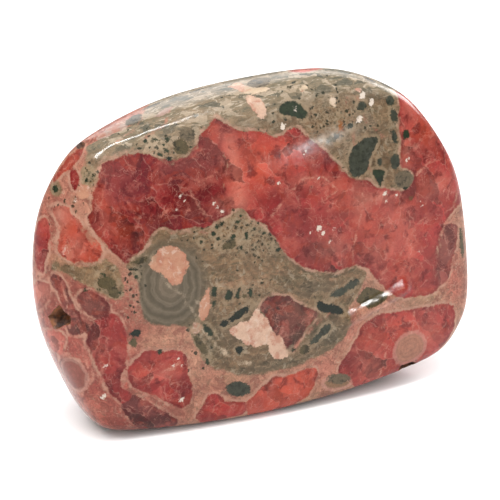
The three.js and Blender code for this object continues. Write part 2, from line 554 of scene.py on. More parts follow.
# Olive matrix: chart, tint and outline.
OLIVE_FIELDS = [
    (FRONT, OLIVE, [
        (-30.2, 3.4), (-29, 4.7), (-27.2, 5.7), (-26, 8), (-24.6, 9.4), (-22.5, 9.4), (-20.2, 8.7),
        (-18.3, 8.8), (-15.9, 8.8), (-14.5, 8.5), (-12.2, 9.7), (-10.2, 10.8), (-8.5, 11.6), (-7.2, 11),
        (-5.8, 9), (-2.9, 7.2), (-1.6, 5.3), (-0.3, 3.1), (1.5, 0.4), (4.5, -2.1), (7.3, -3.4),
        (9.7, -4), (11.8, -4), (15, -3.6), (17.4, -4.5), (17.8, -5.8), (16.8, -7.6), (15.8, -9.6),
        (14.2, -10.9), (13.2, -12.2), (14, -14.6), (13.7, -16.4), (12.7, -17.7), (10.9, -18.8),
        (9.1, -19.6), (6.9, -20.4), (4.3, -20.9), (2.4, -21.4), (0.2, -21.6), (-2.5, -21.4),
        (-5, -21.8), (-8.7, -21.5), (-12.5, -19.7), (-14.9, -18.9), (-16.3, -17.4), (-17.5, -15.2),
        (-18.7, -12.3), (-19.4, -9.8), (-21.1, -9.4), (-24.9, -8.9), (-26.8, -8), (-28, -6.6),
        (-28.3, -4.9), (-28.3, -3.3), (-28.2, 0), (-29, 1.5),
    ]),
    (FRONT, KHAKI, [
        (-39.5, 2.6), (-38, 2.3), (-36.3, 2.6), (-35.3, 3.4), (-34, 4.6), (-33, 4.2), (-31.8, 3.2),
        (-31.1, 2), (-31.3, 0.6), (-31, -1), (-30.9, -2.3), (-31.8, -3.3), (-33, -3), (-34.3, -2.2),
        (-35.3, -1.4), (-37, -0.8), (-38.6, 0.2), (-40, 0.9), (-41, 0.6),
    ]),
    (FRONT, OLIVE, [
        (-34.5, 18.4), (-33, 19.4), (-31, 21), (-28.9, 21.7), (-26.2, 22.3), (-24.4, 22.3),
        (-22.5, 21.7), (-20.5, 21), (-19.1, 20.8), (-17.3, 21.1), (-15.5, 21.9), (-13.8, 23.9),
        (-11.3, 25.6), (-9.7, 27.1), (-8.3, 26.3), (-6.8, 24.9), (-4.2, 24.4), (-1.1, 23.9), (0.6, 22.8),
        (2.7, 23.2), (5, 24.4), (6.3, 22.7), (8, 21.2), (10, 19.4), (12, 16.9), (13.4, 15.3),
        (14.9, 13.4), (16.5, 12.9), (18.1, 12.6), (19.4, 12.1), (20.2, 11), (21.5, 10.2), (22.8, 10),
        (25.2, 9), (27, 9), (28.1, 9.2), (29.9, 11), (28.6, 12.8), (26.3, 13.4), (27, 16.6),
        (27.2, 19.3), (27, 22.3), (27.7, 24.7), (28.5, 27.5), (28, 36), (0, 40), (-20, 36), (-31, 27),
    ]),
    (TOP, OLIVE, [
        (-26, -16), (28.5, -16), (29.6, -4), (29, 6), (26, 16), (-15, 16), (-17.5, 8), (-20.5, 4.6),
        (-24, 0.5), (-27, -3),
    ]),
    (CORNER, OLIVE, [(-2.7, 1.2), (-1.8, 2.6), (-0.6, 2.4), (-0.8, 0.9), (-2.2, 0.4)]),
    (CORNER, KHAKI, [
        (0.9, 19.6), (2, 20.3), (4.1, 19.5), (4.7, 18.2), (4, 16.6), (2.6, 16.3), (1.4, 17), (0.8, 18.3),
    ]),
    (CORNER, KHAKI, [(-5.2, 16.2), (-3.9, 16.8), (-2.5, 15.8), (-2.3, 14.4), (-3.6, 13.4), (-5.3, 14.2)]),
]

# Red and pink crystals.
CRYSTALS = [
    (FRONT, RASPBERRY, [
        (-31.8, 19), (-31, 20.5), (-28.9, 21.3), (-26.2, 21.9), (-24.4, 21.9), (-22.5, 21.3),
        (-20.5, 20.6), (-19.1, 20.4), (-17.3, 20.7), (-15.5, 21.4), (-13.8, 23.5), (-11.3, 25.2),
        (-9.5, 26.8), (-8.8, 25.8), (-10.3, 22.6), (-10.6, 21.8), (-9.6, 19.6), (-9.7, 18.6),
        (-10.9, 16.5), (-10.8, 14), (-9.8, 11.6), (-9.9, 10.8), (-12.2, 9.9), (-14.5, 8.7), (-15.9, 9),
        (-18.3, 9), (-20.2, 8.9), (-22.5, 9.6), (-23.6, 9.9), (-25.1, 8.9), (-26.4, 6.9), (-27.4, 5.9),
        (-29, 4.9), (-30.2, 3.6), (-31.2, 4.9), (-32.9, 7), (-33.8, 8.7), (-34.9, 10.4), (-33.8, 12.7),
        (-33.6, 14.8), (-32.7, 16.3), (-32.2, 17.5),
    ]),
    (FRONT, CRIMSON, [
        (-8.5, 25.9), (-6.8, 24.5), (-4.2, 24), (-1.1, 23.5), (0.6, 22.4), (2.7, 22.8), (5, 24),
        (6.3, 22.4), (8, 20.9), (10, 19.1), (12, 16.6), (13.4, 15), (14.9, 13), (17.8, 12.3),
        (19.4, 11.8), (20.2, 10.7), (21.5, 9.9), (22.8, 9.7), (25.2, 8.7), (27, 8.7), (28.3, 8.9),
        (30.1, 11), (28.7, 13), (26.5, 13.5), (27.2, 16.6), (27.4, 19.3), (27.2, 22.3), (27.9, 24.7),
        (28.4, 28), (34, 29), (43, 18), (46, 6), (40.2, 3.8), (38.8, 3.2), (37, 2), (35.6, 0.1),
        (34.4, -2), (33.8, -3.4), (34, -7), (34.2, -10.4), (33.8, -12.8), (29.4, -12.6), (25.6, -12),
        (23, -10.4), (21.3, -8.4), (19.6, -6.4), (18, -4.1), (15, -3.2), (11.8, -3.7), (9.7, -3.6),
        (7.3, -3), (4.5, -1.8), (1.5, 0.7), (-0.3, 3.4), (-1.6, 5.6), (-2.9, 7.5), (-5.8, 9.2),
        (-7.2, 11.3), (-9.2, 11.2), (-9.5, 11.9), (-10.3, 14), (-10.4, 16.5), (-9.2, 18.7), (-9, 19.8),
        (-10, 21.8), (-9.6, 23.5),
    ]),
    (FRONT, CORAL, [
        (-38.2, 12.4), (-36.9, 11), (-35.8, 9), (-33.7, 6), (-34.4, 4.3), (-36, 3.6), (-37, 3.8),
        (-38.3, 3.2), (-39.6, 4.2), (-38.9, 6.3), (-38.6, 9), (-39.3, 11.4),
    ]),
    (FRONT, MAUVE, [
        (-37, -2), (-36.4, -1.9), (-35.1, -2.5), (-34.3, -3.4), (-33.8, -4.5), (-34.2, -6), (-35.6, -6.4),
        (-37.4, -5.2), (-38, -3.4),
    ]),
    (FRONT, CRIMSON, [
        (-34.2, -6.2), (-32.7, -6), (-32, -8), (-31.2, -10.5), (-31.3, -13), (-31.8, -15.2),
        (-32.4, -17), (-32.9, -18.3), (-33.1, -19.8), (-32, -20.9), (-30.8, -21.8), (-30, -23.4),
        (-30.5, -24.6), (-32.2, -23.4), (-33.5, -21.8), (-34.6, -20.2), (-35.6, -17.5), (-36.4, -15),
        (-37.2, -12.6), (-37.6, -10.6), (-36.8, -8.6), (-35.5, -7),
    ]),
    (FRONT, CRIMSON, [
        (-27.9, -13.7), (-26.8, -13.5), (-25.2, -14.1), (-23.3, -14.3), (-20.4, -14.8), (-20.2, -16.5),
        (-20.3, -18.8), (-19.6, -21.4), (-19.4, -23), (-19.9, -25.1), (-21, -25.9), (-22.4, -25.1),
        (-24.9, -23.2), (-27.4, -21.5), (-29.6, -20.8), (-30.6, -19.5), (-30.9, -17.9), (-30.8, -16.4),
        (-29.9, -15.3), (-28.7, -14.6),
    ]),
    (FRONT, PLUM, [
        (-32, -21.8), (-30, -22.2), (-28.5, -23.2), (-26.3, -25), (-24.4, -26.6), (-21.8, -28.6),
        (-23, -30.5), (-29, -29.5), (-31.4, -26), (-32.4, -23.6),
    ]),
    (FRONT, CRIMSON, [
        (-18.2, -27.9), (-16.5, -26), (-16, -24.4), (-15, -24.1), (-13.4, -25.3), (-12.7, -26.4),
        (-10.7, -26.9), (-8.4, -27.3), (-8.6, -29.4), (-13, -30), (-17, -30.4),
    ]),
    (FRONT, CORAL, [
        (-8.2, -27.4), (-6, -25.6), (-3.9, -23.8), (-2.5, -23), (-0.4, -23.6), (2.1, -23.2), (4.7, -22.8),
        (6.4, -23.3), (6, -25), (5.4, -27.2), (3, -29.4), (-3, -31), (-7, -31),
    ]),
    (FRONT, CRIMSON, [
        (16.2, -16.6), (18.2, -15.4), (20.5, -14.8), (23.9, -15.2), (28.8, -15.5), (31.2, -15.8),
        (33.6, -16), (36.8, -16), (38.6, -17.6), (38.6, -22), (35, -26), (29, -29.5), (22, -31),
        (16, -31), (14.8, -27.6), (12.6, -25.9), (11.2, -24.1), (13.5, -21.2), (15.5, -18.6),
    ]),
    (FRONT, DUSK_MAUVE, [
        (-4.9, -8.4), (-3.9, -7), (-2.2, -6.6), (-0.3, -7.2), (0.9, -7.4), (2.5, -9.1), (5.1, -10.4),
        (7, -11.8), (5.2, -13.1), (3.9, -13.9), (2.6, -15.9), (1.2, -18.2), (0.1, -16.9), (-1.8, -14.5),
        (-2.8, -12.7), (-3.2, -11), (-4.4, -9.4),
    ]),
    (FRONT, MAUVE, [
        (37.2, 0.4), (39.6, -0.6), (39.2, -3.2), (38.6, -5.1), (37.6, -7.4), (37.5, -9), (36.1, -11.4),
        (34.6, -11.4), (34.6, -9.4), (34.8, -6.6), (35, -3.3), (36.1, -1.4),
    ]),
    (CORNER, CRIMSON, [
        (-5.6, 9.3), (-4.7, 8.9), (-3.9, 7), (-3.9, 4.5), (-4.2, 2.2), (-4.4, 0), (-5.5, -0.4),
        (-6.9, 2.5), (-7.4, 5.6), (-6.8, 8.4),
    ]),
    (CORNER, CORAL, [
        (-4.9, 16.4), (-4.2, 17.6), (-3.5, 19), (-2.1, 21), (-0.4, 22.5), (-0.3, 21.4), (-1.3, 19.7),
        (-3, 18.2), (-4, 16.8),
    ]),
    (CORNER, CRIMSON, [(-1, 19), (0.3, 18.3), (0.6, 17), (0.3, 15.8), (-0.5, 16.8), (-1.1, 18)]),
    (CORNER, MAUVE, [
        (-2.6, -0.6), (-0.6, -0.2), (0.6, -1.3), (1.6, -3), (2.9, -4.8), (4.6, -6.8), (6.6, -8.8),
        (5, -9.9), (2.8, -10), (2.1, -8.6), (1.7, -6.6), (0.7, -4.6), (-0.3, -3), (-1.8, -1.8),
    ]),
    (CORNER, ROSE, [
        (-6.8, -3.2), (-4.2, -2.2), (-2.4, -2.6), (-2.8, -5), (-4.8, -7.4), (-7, -8), (-8.4, -5.6),
    ]),
    (CORNER, SALMON, [
        (-2.2, -11.2), (0.6, -10.6), (1.8, -11.4), (1.2, -13), (0.4, -15), (-2, -15.2), (-4.4, -14.2),
        (-4.2, -12.2),
    ]),
    (CORNER, MAUVE, [
        (-0.4, -17.6), (1, -15.9), (3, -15.2), (5.2, -15.8), (6.6, -17.4), (6.2, -19.4), (4.6, -20.8),
        (2.6, -21.2), (0.8, -20.2), (-0.3, -19),
    ]),
    (TOP, SALMON, [(9.3, 3.4), (11.5, 5.4), (14.3, 5), (15.4, 2.6), (12.8, 1.4), (10.2, 1.8)]),
]

# Pale lumps: peach, cream and white.
PALE_LUMPS = [
    (FRONT, WHITE_PEACH, [
        (-11.8, -11.5), (-10.4, -11), (-9.4, -10.4), (-7.2, -10.8), (-6.8, -9.3), (-5.7, -8.3),
        (-4.9, -9.4), (-3.6, -11), (-2.8, -13.1), (-0.9, -15.2), (-0.1, -17.2), (0.8, -18.9), (-1, -19.5),
        (-2.6, -19.1), (-3.9, -17.1), (-3.4, -15.9), (-5.4, -16.1), (-7.9, -15.4), (-9.5, -13.9),
        (-11.1, -12.6),
    ]),
    (FRONT, PEACH, [
        (-25.8, 3.5), (-24.7, 5.1), (-22.8, 5.9), (-21.4, 6), (-19.3, 4.2), (-18.6, 2), (-19.5, 0.4),
        (-20.2, -1), (-21.2, -1.8), (-22.2, -1.4), (-22.8, -0.4), (-23.7, 0.9), (-25, 1.6), (-25.9, 2.2),
    ]),
    (FRONT, PEACH, [
        (-15.2, -2.4), (-14.8, -5), (-15, -7), (-16.2, -9.6), (-17.3, -8.6), (-17.2, -7), (-16.4, -4.6),
    ]),
    (FRONT, PALE_GREY, [
        (-18.6, -9.3), (-17.6, -9), (-16.8, -9.9), (-17, -11.3), (-18.4, -11.8), (-18.9, -10.6),
    ]),
    (FRONT, WHITE_PEACH, [
        (-3, 28.8), (-2.2, 29.6), (-0.6, 29.4), (0.1, 28.4), (0.2, 27), (-0.4, 26.2), (-1.4, 26), (-2, 27),
    ]),
    (FRONT, SALMON, [(-38.2, 6.4), (-37.5, 4.6), (-38.4, 3), (-39.4, 4.5)]),
    (CORNER, PEACH, [(1, 16.3), (2, 17), (3, 16.6), (3.3, 15.6), (3, 14.6), (2, 14), (1, 14.6)]),
    (TOP, ASH_PINK, [
        (-31, 2.4), (-28.5, 4.2), (-27, 4.3), (-23.5, 5.2), (-24.2, 3), (-25, 1.2), (-27, 1.4), (-29.5, 1.6),
    ]),
    (TOP, CREAM, [
        (-3.8, 3.9), (-0.9, 4.1), (-1, 1.8), (0, 0.3), (2.2, -1), (2.9, -1.7), (0, -2.1), (-2.2, -1.2),
        (-3.1, 1.2),
    ]),
    (TOP, ASH_PINK, [(-20, 1.4), (-17.6, 2.6), (-15.2, 2.6), (-16.4, 1.2), (-18.6, 0.6)]),
    (TOP, CREAM, [(7.6, -3.2), (8.6, -2.8), (9.6, -3.2), (9.2, -4), (8, -4)]),
    (TOP, CREAM, [(12.2, -5.6), (13.6, -5.2), (14.6, -6), (13.4, -6.6)]),
    (TOP, WHITE_PEACH, [(18.9, -5), (19.6, -4.7), (20.2, -5.1), (19.5, -5.5)]),
]

# Agate orbs, ringed from their edges inwards: chart, tint and outline.
ORBS = [
    (FRONT, TAN_PINK, [
        (24.1, -23.4), (24.8, -21.4), (27, -20.2), (29.4, -20.4), (31.2, -22.6), (31, -24.8), (29, -26),
        (25.4, -26.2),
    ]),
    (FRONT, KHAKI, [(7.8, -26.2), (9.4, -25.7), (11.6, -26.2), (14.2, -27.6), (12.6, -28.2), (9.4, -27.8)]),
    (CORNER, DUSTY_ROSE, [
        (0.2, -18.6), (1, -16.4), (3, -15.2), (5.4, -15.8), (6.6, -18), (6, -20.4), (3.6, -21.4),
        (1.2, -20.8),
    ]),
]

# Low ridges on the front, where a hard vein stands proud: middle, the turn of the crest in degrees,
# half length, height, and the slopes of the upper and the lower side.
RIDGES = [((20, -12.8), 17, 8.4, 0.62, 0.33, 0.9)]
RIDGE_REACH = 6
RIDGE_FADE = 1.5  # length over which each end fades away
CREST_ROUNDING = 0.4
RIPPLE_HEIGHT = 0.03
RIPPLES_PER_MM = 0.6

# Dark grains and lenses: chart, tint, middle, half sizes, and the turn of their long side in degrees.
GRAINS = [
    (FRONT, BOTTLE_GREEN, (-16.1, 5.9), (0.35, 0.35), 0),
    (FRONT, BOTTLE_GREEN, (-13.5, 7.1), (0.42, 0.42), 0),
    (FRONT, BOTTLE_GREEN, (-12.6, 8.2), (0.3, 0.5), 0),
    (FRONT, BOTTLE_GREEN, (-11.8, 8.7), (0.45, 0.35), 30),
    (FRONT, BOTTLE_GREEN, (-8.7, 8.6), (0.6, 0.3), 0),
    (FRONT, BOTTLE_GREEN, (-8, 9.7), (0.32, 0.3), 0),
    (FRONT, BOTTLE_GREEN, (-7.1, 5.9), (0.3, 0.7), 0),
    (FRONT, BOTTLE_GREEN, (-9.8, 5.9), (0.7, 0.45), 45),
    (FRONT, BOTTLE_GREEN, (-12.6, 6.1), (0.32, 0.3), 0),
    (FRONT, BOTTLE_GREEN, (-6.5, 7.8), (0.3, 0.2), 20),
    (FRONT, BOTTLE_GREEN, (-5.7, 6.7), (0.42, 0.25), 0),
    (FRONT, BOTTLE_GREEN, (-3.6, 5.8), (0.35, 0.3), 0),
    (FRONT, BOTTLE_GREEN, (-2.5, 3.6), (0.35, 0.25), 0),
    (FRONT, BOTTLE_GREEN, (-1, 2.3), (0.6, 0.38), -20),
    (FRONT, BOTTLE_GREEN, (-8.1, 3.8), (0.3, 0.5), 10),
    (FRONT, BOTTLE_GREEN, (-5.4, 3.2), (0.25, 0.38), 0),
    (FRONT, DARK_OLIVE, (-10.6, 4.6), (1.4, 0.9), 10),
    (FRONT, BOTTLE_GREEN, (-14.1, -3.8), (0.6, 0.9), -10),
    (FRONT, BOTTLE_GREEN, (-14.2, -6.3), (0.45, 0.8), -10),
    (FRONT, BOTTLE_GREEN, (-11.3, -5), (0.75, 1.1), -6),
    (FRONT, BOTTLE_GREEN, (-9.4, -4.9), (0.42, 1), -16),
    (FRONT, BOTTLE_GREEN, (-6.9, -5.2), (0.5, 0.9), 8),
    (FRONT, DARK_OLIVE, (-8.1, -5.6), (0.5, 0.5), 0),
    (FRONT, BLACK_GREEN, (-9.3, -8.9), (2.6, 0.75), 28),
    (FRONT, BLACK_GREEN, (-12.4, -10.2), (0.75, 0.65), 20),
    (FRONT, BLACK_GREEN, (-9.5, -16), (0.78, 0.75), 0),
    (FRONT, BOTTLE_GREEN, (-15.6, -11.2), (1.6, 0.55), -55),
    (FRONT, DARK_OLIVE, (-17.2, -13.8), (2.4, 0.7), -62),
    (FRONT, BOTTLE_GREEN, (-16, -17.2), (0.35, 0.85), 0),
    (FRONT, BOTTLE_GREEN, (-25, -14), (0.75, 0.38), 0),
    (FRONT, BLACK_GREEN, (-29.3, -9.7), (0.95, 0.7), 10),
    (FRONT, DARK_OLIVE, (-29.9, -11.4), (0.7, 0.9), 0),
    (FRONT, BOTTLE_GREEN, (-31.5, -1.8), (0.32, 0.3), 0),
    (FRONT, BOTTLE_GREEN, (-30.5, -1.5), (0.25, 0.25), 0),
    (FRONT, BOTTLE_GREEN, (-28.5, 0.9), (0.32, 0.3), 0),
    (FRONT, BLACK_GREEN, (-28.7, 2.4), (0.8, 0.22), -8),
    (FRONT, DARK_OLIVE, (-27.6, 3.8), (1.6, 0.6), 4),
    (FRONT, BOTTLE_GREEN, (-34, 1.5), (0.45, 0.22), 0),
    (FRONT, DARK_OLIVE, (-33.6, 0), (1.5, 1.1), 0),
    (FRONT, DARK_OLIVE, (-32.8, -1.6), (0.8, 1.3), 20),
    (FRONT, BOTTLE_GREEN, (-35, -1.2), (0.28, 0.28), 0),
    (FRONT, BOTTLE_GREEN, (-36.9, -1.6), (0.35, 0.5), 0),
    (FRONT, SLATE_GREEN, (11.9, -8.2), (2, 0.85), 8),
    (FRONT, SLATE_GREEN, (14.6, -7.2), (1.5, 0.85), 18),
    (FRONT, SLATE_GREEN, (8.4, -15.2), (1.35, 0.9), 32),
    (FRONT, SLATE_GREEN, (6.4, -16.8), (1.35, 0.7), 28),
    (FRONT, DARK_OLIVE, (3.9, -18.4), (1.1, 0.95), 20),
    (FRONT, BOTTLE_GREEN, (1.6, -17.9), (0.6, 0.42), 0),
    (FRONT, SLATE_GREEN, (14.9, 22.9), (0.45, 0.75), 0),
    (FRONT, SLATE_GREEN, (16.3, 22.7), (0.6, 0.6), 0),
    (FRONT, SLATE_GREEN, (19.4, 25.8), (1.05, 0.85), 10),
    (FRONT, DARK_OLIVE, (13, 21.4), (0.8, 0.6), 0),
    (FRONT, DARK_OLIVE, (11.8, 20.8), (1, 0.4), -15),
    (FRONT, SLATE_GREEN, (26.1, 23.2), (0.8, 1.3), 8),
    (FRONT, SLATE_GREEN, (25.8, 25.8), (0.9, 0.9), 0),
    (FRONT, SLATE_GREEN, (25.6, 19.4), (0.6, 1.4), 14),
    (FRONT, BOTTLE_GREEN, (28.4, 19.2), (0.8, 1), 0),
    (FRONT, SLATE_GREEN, (22, 15.2), (0.5, 0.8), 0),
    (FRONT, SLATE_GREEN, (25.4, 14.7), (1.05, 1.4), 0),
    (FRONT, GREY_OLIVE, (27.2, 11), (2.2, 1.7), -10),
    (FRONT, BOTTLE_GREEN, (27.5, 9.4), (0.75, 0.42), 15),
    (FRONT, BROWN, (28.5, 7.1), (0.5, 0.5), 0),
    (FRONT, BOTTLE_GREEN, (13.9, 15.5), (0.3, 0.25), 0),
    (FRONT, BOTTLE_GREEN, (12.8, 17.4), (0.22, 0.42), 20),
    (FRONT, BOTTLE_GREEN, (-23.2, 24), (0.32, 0.3), 0),
    (FRONT, BOTTLE_GREEN, (-21.5, 24.1), (0.5, 0.28), 0),
    (FRONT, BOTTLE_GREEN, (-20.3, 23.2), (0.32, 0.3), 0),
    (FRONT, BOTTLE_GREEN, (-19.9, 22.2), (0.42, 0.36), 0),
    (FRONT, BOTTLE_GREEN, (-21.2, 21.8), (0.4, 0.32), 0),
    (FRONT, BLACK_GREEN, (-19.9, 21), (0.45, 0.36), 0),
    (FRONT, BOTTLE_GREEN, (-19.3, 24), (0.4, 0.3), 0),
    (FRONT, DARK_OLIVE, (-17.2, 22.8), (1.5, 1.3), 20),
    (FRONT, GREY_OLIVE, (-15.6, 24.6), (1.5, 1.1), 10),
    (FRONT, BOTTLE_GREEN, (-15.8, 22.7), (0.5, 0.25), 10),
    (FRONT, SLATE_GREEN, (-10, -23.9), (2.6, 1.5), -18),
    (FRONT, GREY_OLIVE, (11.4, -26.1), (2.6, 1.1), -16),
    (FRONT, DARK_OLIVE, (40.6, -4.4), (0.6, 3), 6),
    (CORNER, BOTTLE_GREEN, (-3.9, 15.1), (0.62, 0.6), 0),
    (CORNER, BOTTLE_GREEN, (1.9, 19.4), (0.35, 0.25), 0),
    (CORNER, BOTTLE_GREEN, (3.4, 18.6), (0.3, 0.3), 0),
    (CORNER, BOTTLE_GREEN, (2.2, 17.6), (0.28, 0.35), 0),
    (TOP, GREY, (-23, 3.2), (2.2, 1.3), 42),
    (TOP, GREY, (-18, 6.2), (2.2, 0.6), 8),
    (TOP, GREY_OLIVE, (1.8, 1.6), (2.5, 2), 30),
    (TOP, DARK_OLIVE, (6.1, -2.6), (0.75, 0.38), -12),
    (TOP, SLATE_GREEN, (7.5, -1.6), (0.6, 0.4), 0),
    (TOP, GREY, (23.2, -2.4), (1.3, 0.7), -20),
    (TOP, GREY, (-8.6, 6.4), (1.6, 0.45), 6),
    (TOP, GREY, (-4.6, 8.4), (1.7, 0.5), -4),
    (TOP, RUST, (14.4, -8), (0.7, 0.5), 0),
]
GRAIN_OUTLINES = [
    (FRONT, BLACK_GREEN, [
        (6.7, -9), (7.3, -9.2), (8.8, -10.1), (10.9, -10.5), (12, -11.4), (12.8, -12.7), (11.5, -12.7),
        (9.2, -12), (7.2, -11.2), (6.6, -10.2),
    ]),
    (FRONT, SLATE_GREEN, [
        (19.7, 20.2), (22.1, 19.9), (21.6, 18.6), (20.4, 17.2), (19.6, 16), (19.2, 14.4), (18.8, 13.8),
        (16.6, 13.1), (15.5, 13.8), (15.1, 15), (15.2, 16.8), (16, 18.6), (17.7, 19.7),
    ]),
    (FRONT, BOTTLE_GREEN, [(20.1, 14.2), (22.9, 13.6), (22.6, 12.2), (21.7, 10.3), (20.9, 11.6), (20.3, 13)]),
    (FRONT, BOTTLE_GREEN, [
        (2.3, 27), (3.2, 28), (4.8, 28.5), (6.4, 28), (7.6, 27), (7.9, 25.8), (7.2, 25.1), (6, 25.2),
        (5, 25.8), (3.5, 26.2), (2.5, 26.5),
    ]),
    (FRONT, DARK_OLIVE, [
        (17.9, -8.2), (20.6, -9.6), (22.4, -10.8), (21, -12), (18.3, -12.8), (16.5, -11.8), (15, -10.7),
        (16.2, -9.4),
    ]),
]

# Pale seams: chart, tint, full width and the points that they run through.
SEAMS = [
    (CORNER, TAN_PINK, 1.3, [(0.2, 13.8), (1.4, 11.6), (3.4, 9), (5.8, 7), (8.2, 5.4), (10, 4)]),
    (FRONT, PALE_GREY, 0.5, [(-24, 0.9), (-23, -1), (-22, -2.2), (-20, -3.6), (-18.4, -4.6), (-17, -5.6)]),
    (FRONT, PALE_GREY, 0.4, [(-20.2, -3.6), (-19.2, -5.6), (-18, -7.6), (-17.8, -9)]),
    (FRONT, CREAM, 0.8, [(-16.6, -10.4), (-14.9, -13.4), (-12.6, -16), (-9.8, -18.4), (-7.5, -19.1)]),
    (FRONT, TAN, 0.5, [
        (-13.6, -2.6), (-10, -2.9), (-6, -3.4), (-3, -5), (0.4, -6.2), (3.4, -8.2), (5.6, -8.6),
    ]),
    (FRONT, TAN, 0.5, [(-6, -3), (-1, -1.6), (3.4, -2.8), (6.4, -4.6), (9, -5.4), (13, -5.4), (16.6, -6)]),
    (FRONT, ROSE, 0.9, [(1.4, -18.2), (3.2, -16), (5.4, -14.4), (7.4, -12.8), (9.6, -11.9)]),
    (FRONT, PALE_PINK, 0.5, [(28.8, -15.4), (28.4, -19), (27.4, -22.4)]),
    (FRONT, PALE_PINK, 0.5, [(16.4, -17), (19.4, -19.8), (22.4, -21.6), (21.6, -24.6), (20.4, -29)]),
    (FRONT, PALE_PINK, 0.5, [(17.6, 10), (17.2, 6.6), (15.8, 2.4), (14.8, -1), (15, -3.4)]),
    (FRONT, ROSE, 0.6, [(33.4, 4.6), (30.6, 2.2), (27.6, -0.6), (25, -4.4), (20.6, -6.8)]),
    (FRONT, TAN_PINK, 0.7, [(40, 6.4), (38.6, 2.6), (36.4, -0.4), (34.4, -5), (34.2, -9.4)]),
    (FRONT, PALE_PINK, 0.45, [(30.2, 11.4), (33.6, 13.4), (37.4, 13.2), (40, 11)]),
    (FRONT, PALE_PINK, 0.4, [(-2.4, 8.2), (2.4, 12.6), (5.6, 14.8), (9.8, 14.2), (12.4, 11.4), (9.6, 10.2)]),
    (FRONT, ROSE, 0.4, [(-1.8, 21.8), (0.6, 18.4), (1.4, 14.8), (4.4, 13)]),
    (FRONT, ROSE, 0.4, [(-29.6, 16.4), (-27.6, 12.4), (-24.2, 10.8), (-21.4, 12.6), (-17.6, 12)]),
    (FRONT, PALE_PINK, 0.5, [(-17.2, 15.8), (-15.8, 12.4), (-14.2, 9.8)]),
    (FRONT, ROSE, 0.4, [(-21, 17.6), (-18, 18.4), (-15, 16.6), (-11.6, 18)]),
    (FRONT, PALE_PINK, 0.6, [(-26.8, -18.8), (-24.6, -17.8), (-22.6, -17.6), (-21.4, -16.6)]),
    (FRONT, ROSE, 0.5, [(-28.6, -16.2), (-27.8, -18.4), (-27.4, -20.6)]),
    (CORNER, PALE_PINK, 0.9, [
        (-1.2, -19.2), (-0.9, -16.8), (1, -14.8), (3.4, -14.1), (6.2, -14.9), (7.8, -17.4), (7.2, -20.4),
        (5.2, -22), (2.6, -22.5), (0.2, -21.4),
    ]),
    (CORNER, ROSE, 0.5, [(8.8, -13.6), (9.4, -17.4), (8.6, -21.4), (6, -24)]),
    (CORNER, PALE_PINK, 0.6, [(0.6, -2), (1.6, -4.6), (2.4, -7.4), (2.6, -10.6)]),
    (TOP, PALE_PINK, 0.5, [(-20.4, 5), (-22, 2), (-24.6, 0), (-28, -0.6)]),
    (TOP, PALE_GREY, 0.6, [(4.4, 1.2), (8, 2.4), (13, 0.2), (18, 0.4), (24, -1.2)]),
    (TOP, PALE_GREY, 0.5, [(-16, 2), (-9, 3), (-4, 4.4)]),
]

# Painted glints: pale spots where little cleavage faces catch the light. Chart, middle and half length. All
# have one shape and one turn.
GLINT_SLIMNESS = 0.7
GLINT_TURN = 40
PAINTED_GLINTS = [
    (FRONT, (-19, 14.6), 0.45), (FRONT, (-18.5, 13.7), 0.35), (FRONT, (-20, 12.4), 0.35),
    (FRONT, (-12.2, 11.9), 0.4), (FRONT, (-11.4, 11), 0.45), (FRONT, (-12.9, 12.6), 0.3),
    (FRONT, (-24.6, 12.8), 0.3), (FRONT, (0.2, 14.6), 0.55), (FRONT, (-1, 14), 0.3),
    (FRONT, (6, 19.4), 0.4), (FRONT, (8.4, 14.4), 0.35), (FRONT, (6, 4.4), 0.35), (FRONT, (7.8, 5), 0.8),
    (FRONT, (8.6, 3.8), 0.55), (FRONT, (10.8, 4.2), 0.4), (FRONT, (10, 2), 0.5), (FRONT, (22.6, 9), 0.65),
    (FRONT, (22.8, 7.6), 0.5), (FRONT, (25.2, 8.4), 0.45), (FRONT, (31, 5.2), 0.4), (FRONT, (30.6, 6), 0.3),
    (FRONT, (28.2, 14.6), 0.6), (FRONT, (5.7, 26.9), 0.5), (FRONT, (2.6, 24.4), 0.8),
    (FRONT, (-1.6, -12.4), 0.3), (FRONT, (-22.6, -17), 0.4), (FRONT, (-21.6, -15.8), 0.35),
    (FRONT, (-20.9, -17.2), 0.3), (FRONT, (-21.2, -24.2), 0.6), (FRONT, (-35.8, -21.6), 0.7),
    (FRONT, (-35.2, -15.6), 0.5), (CORNER, (0.9, 13.7), 0.5), (FRONT, (30, -3.6), 0.3),
    (FRONT, (20, 27.6), 0.9), (FRONT, (18.4, 23.6), 0.9), (FRONT, (21.6, 26.2), 0.8),
]

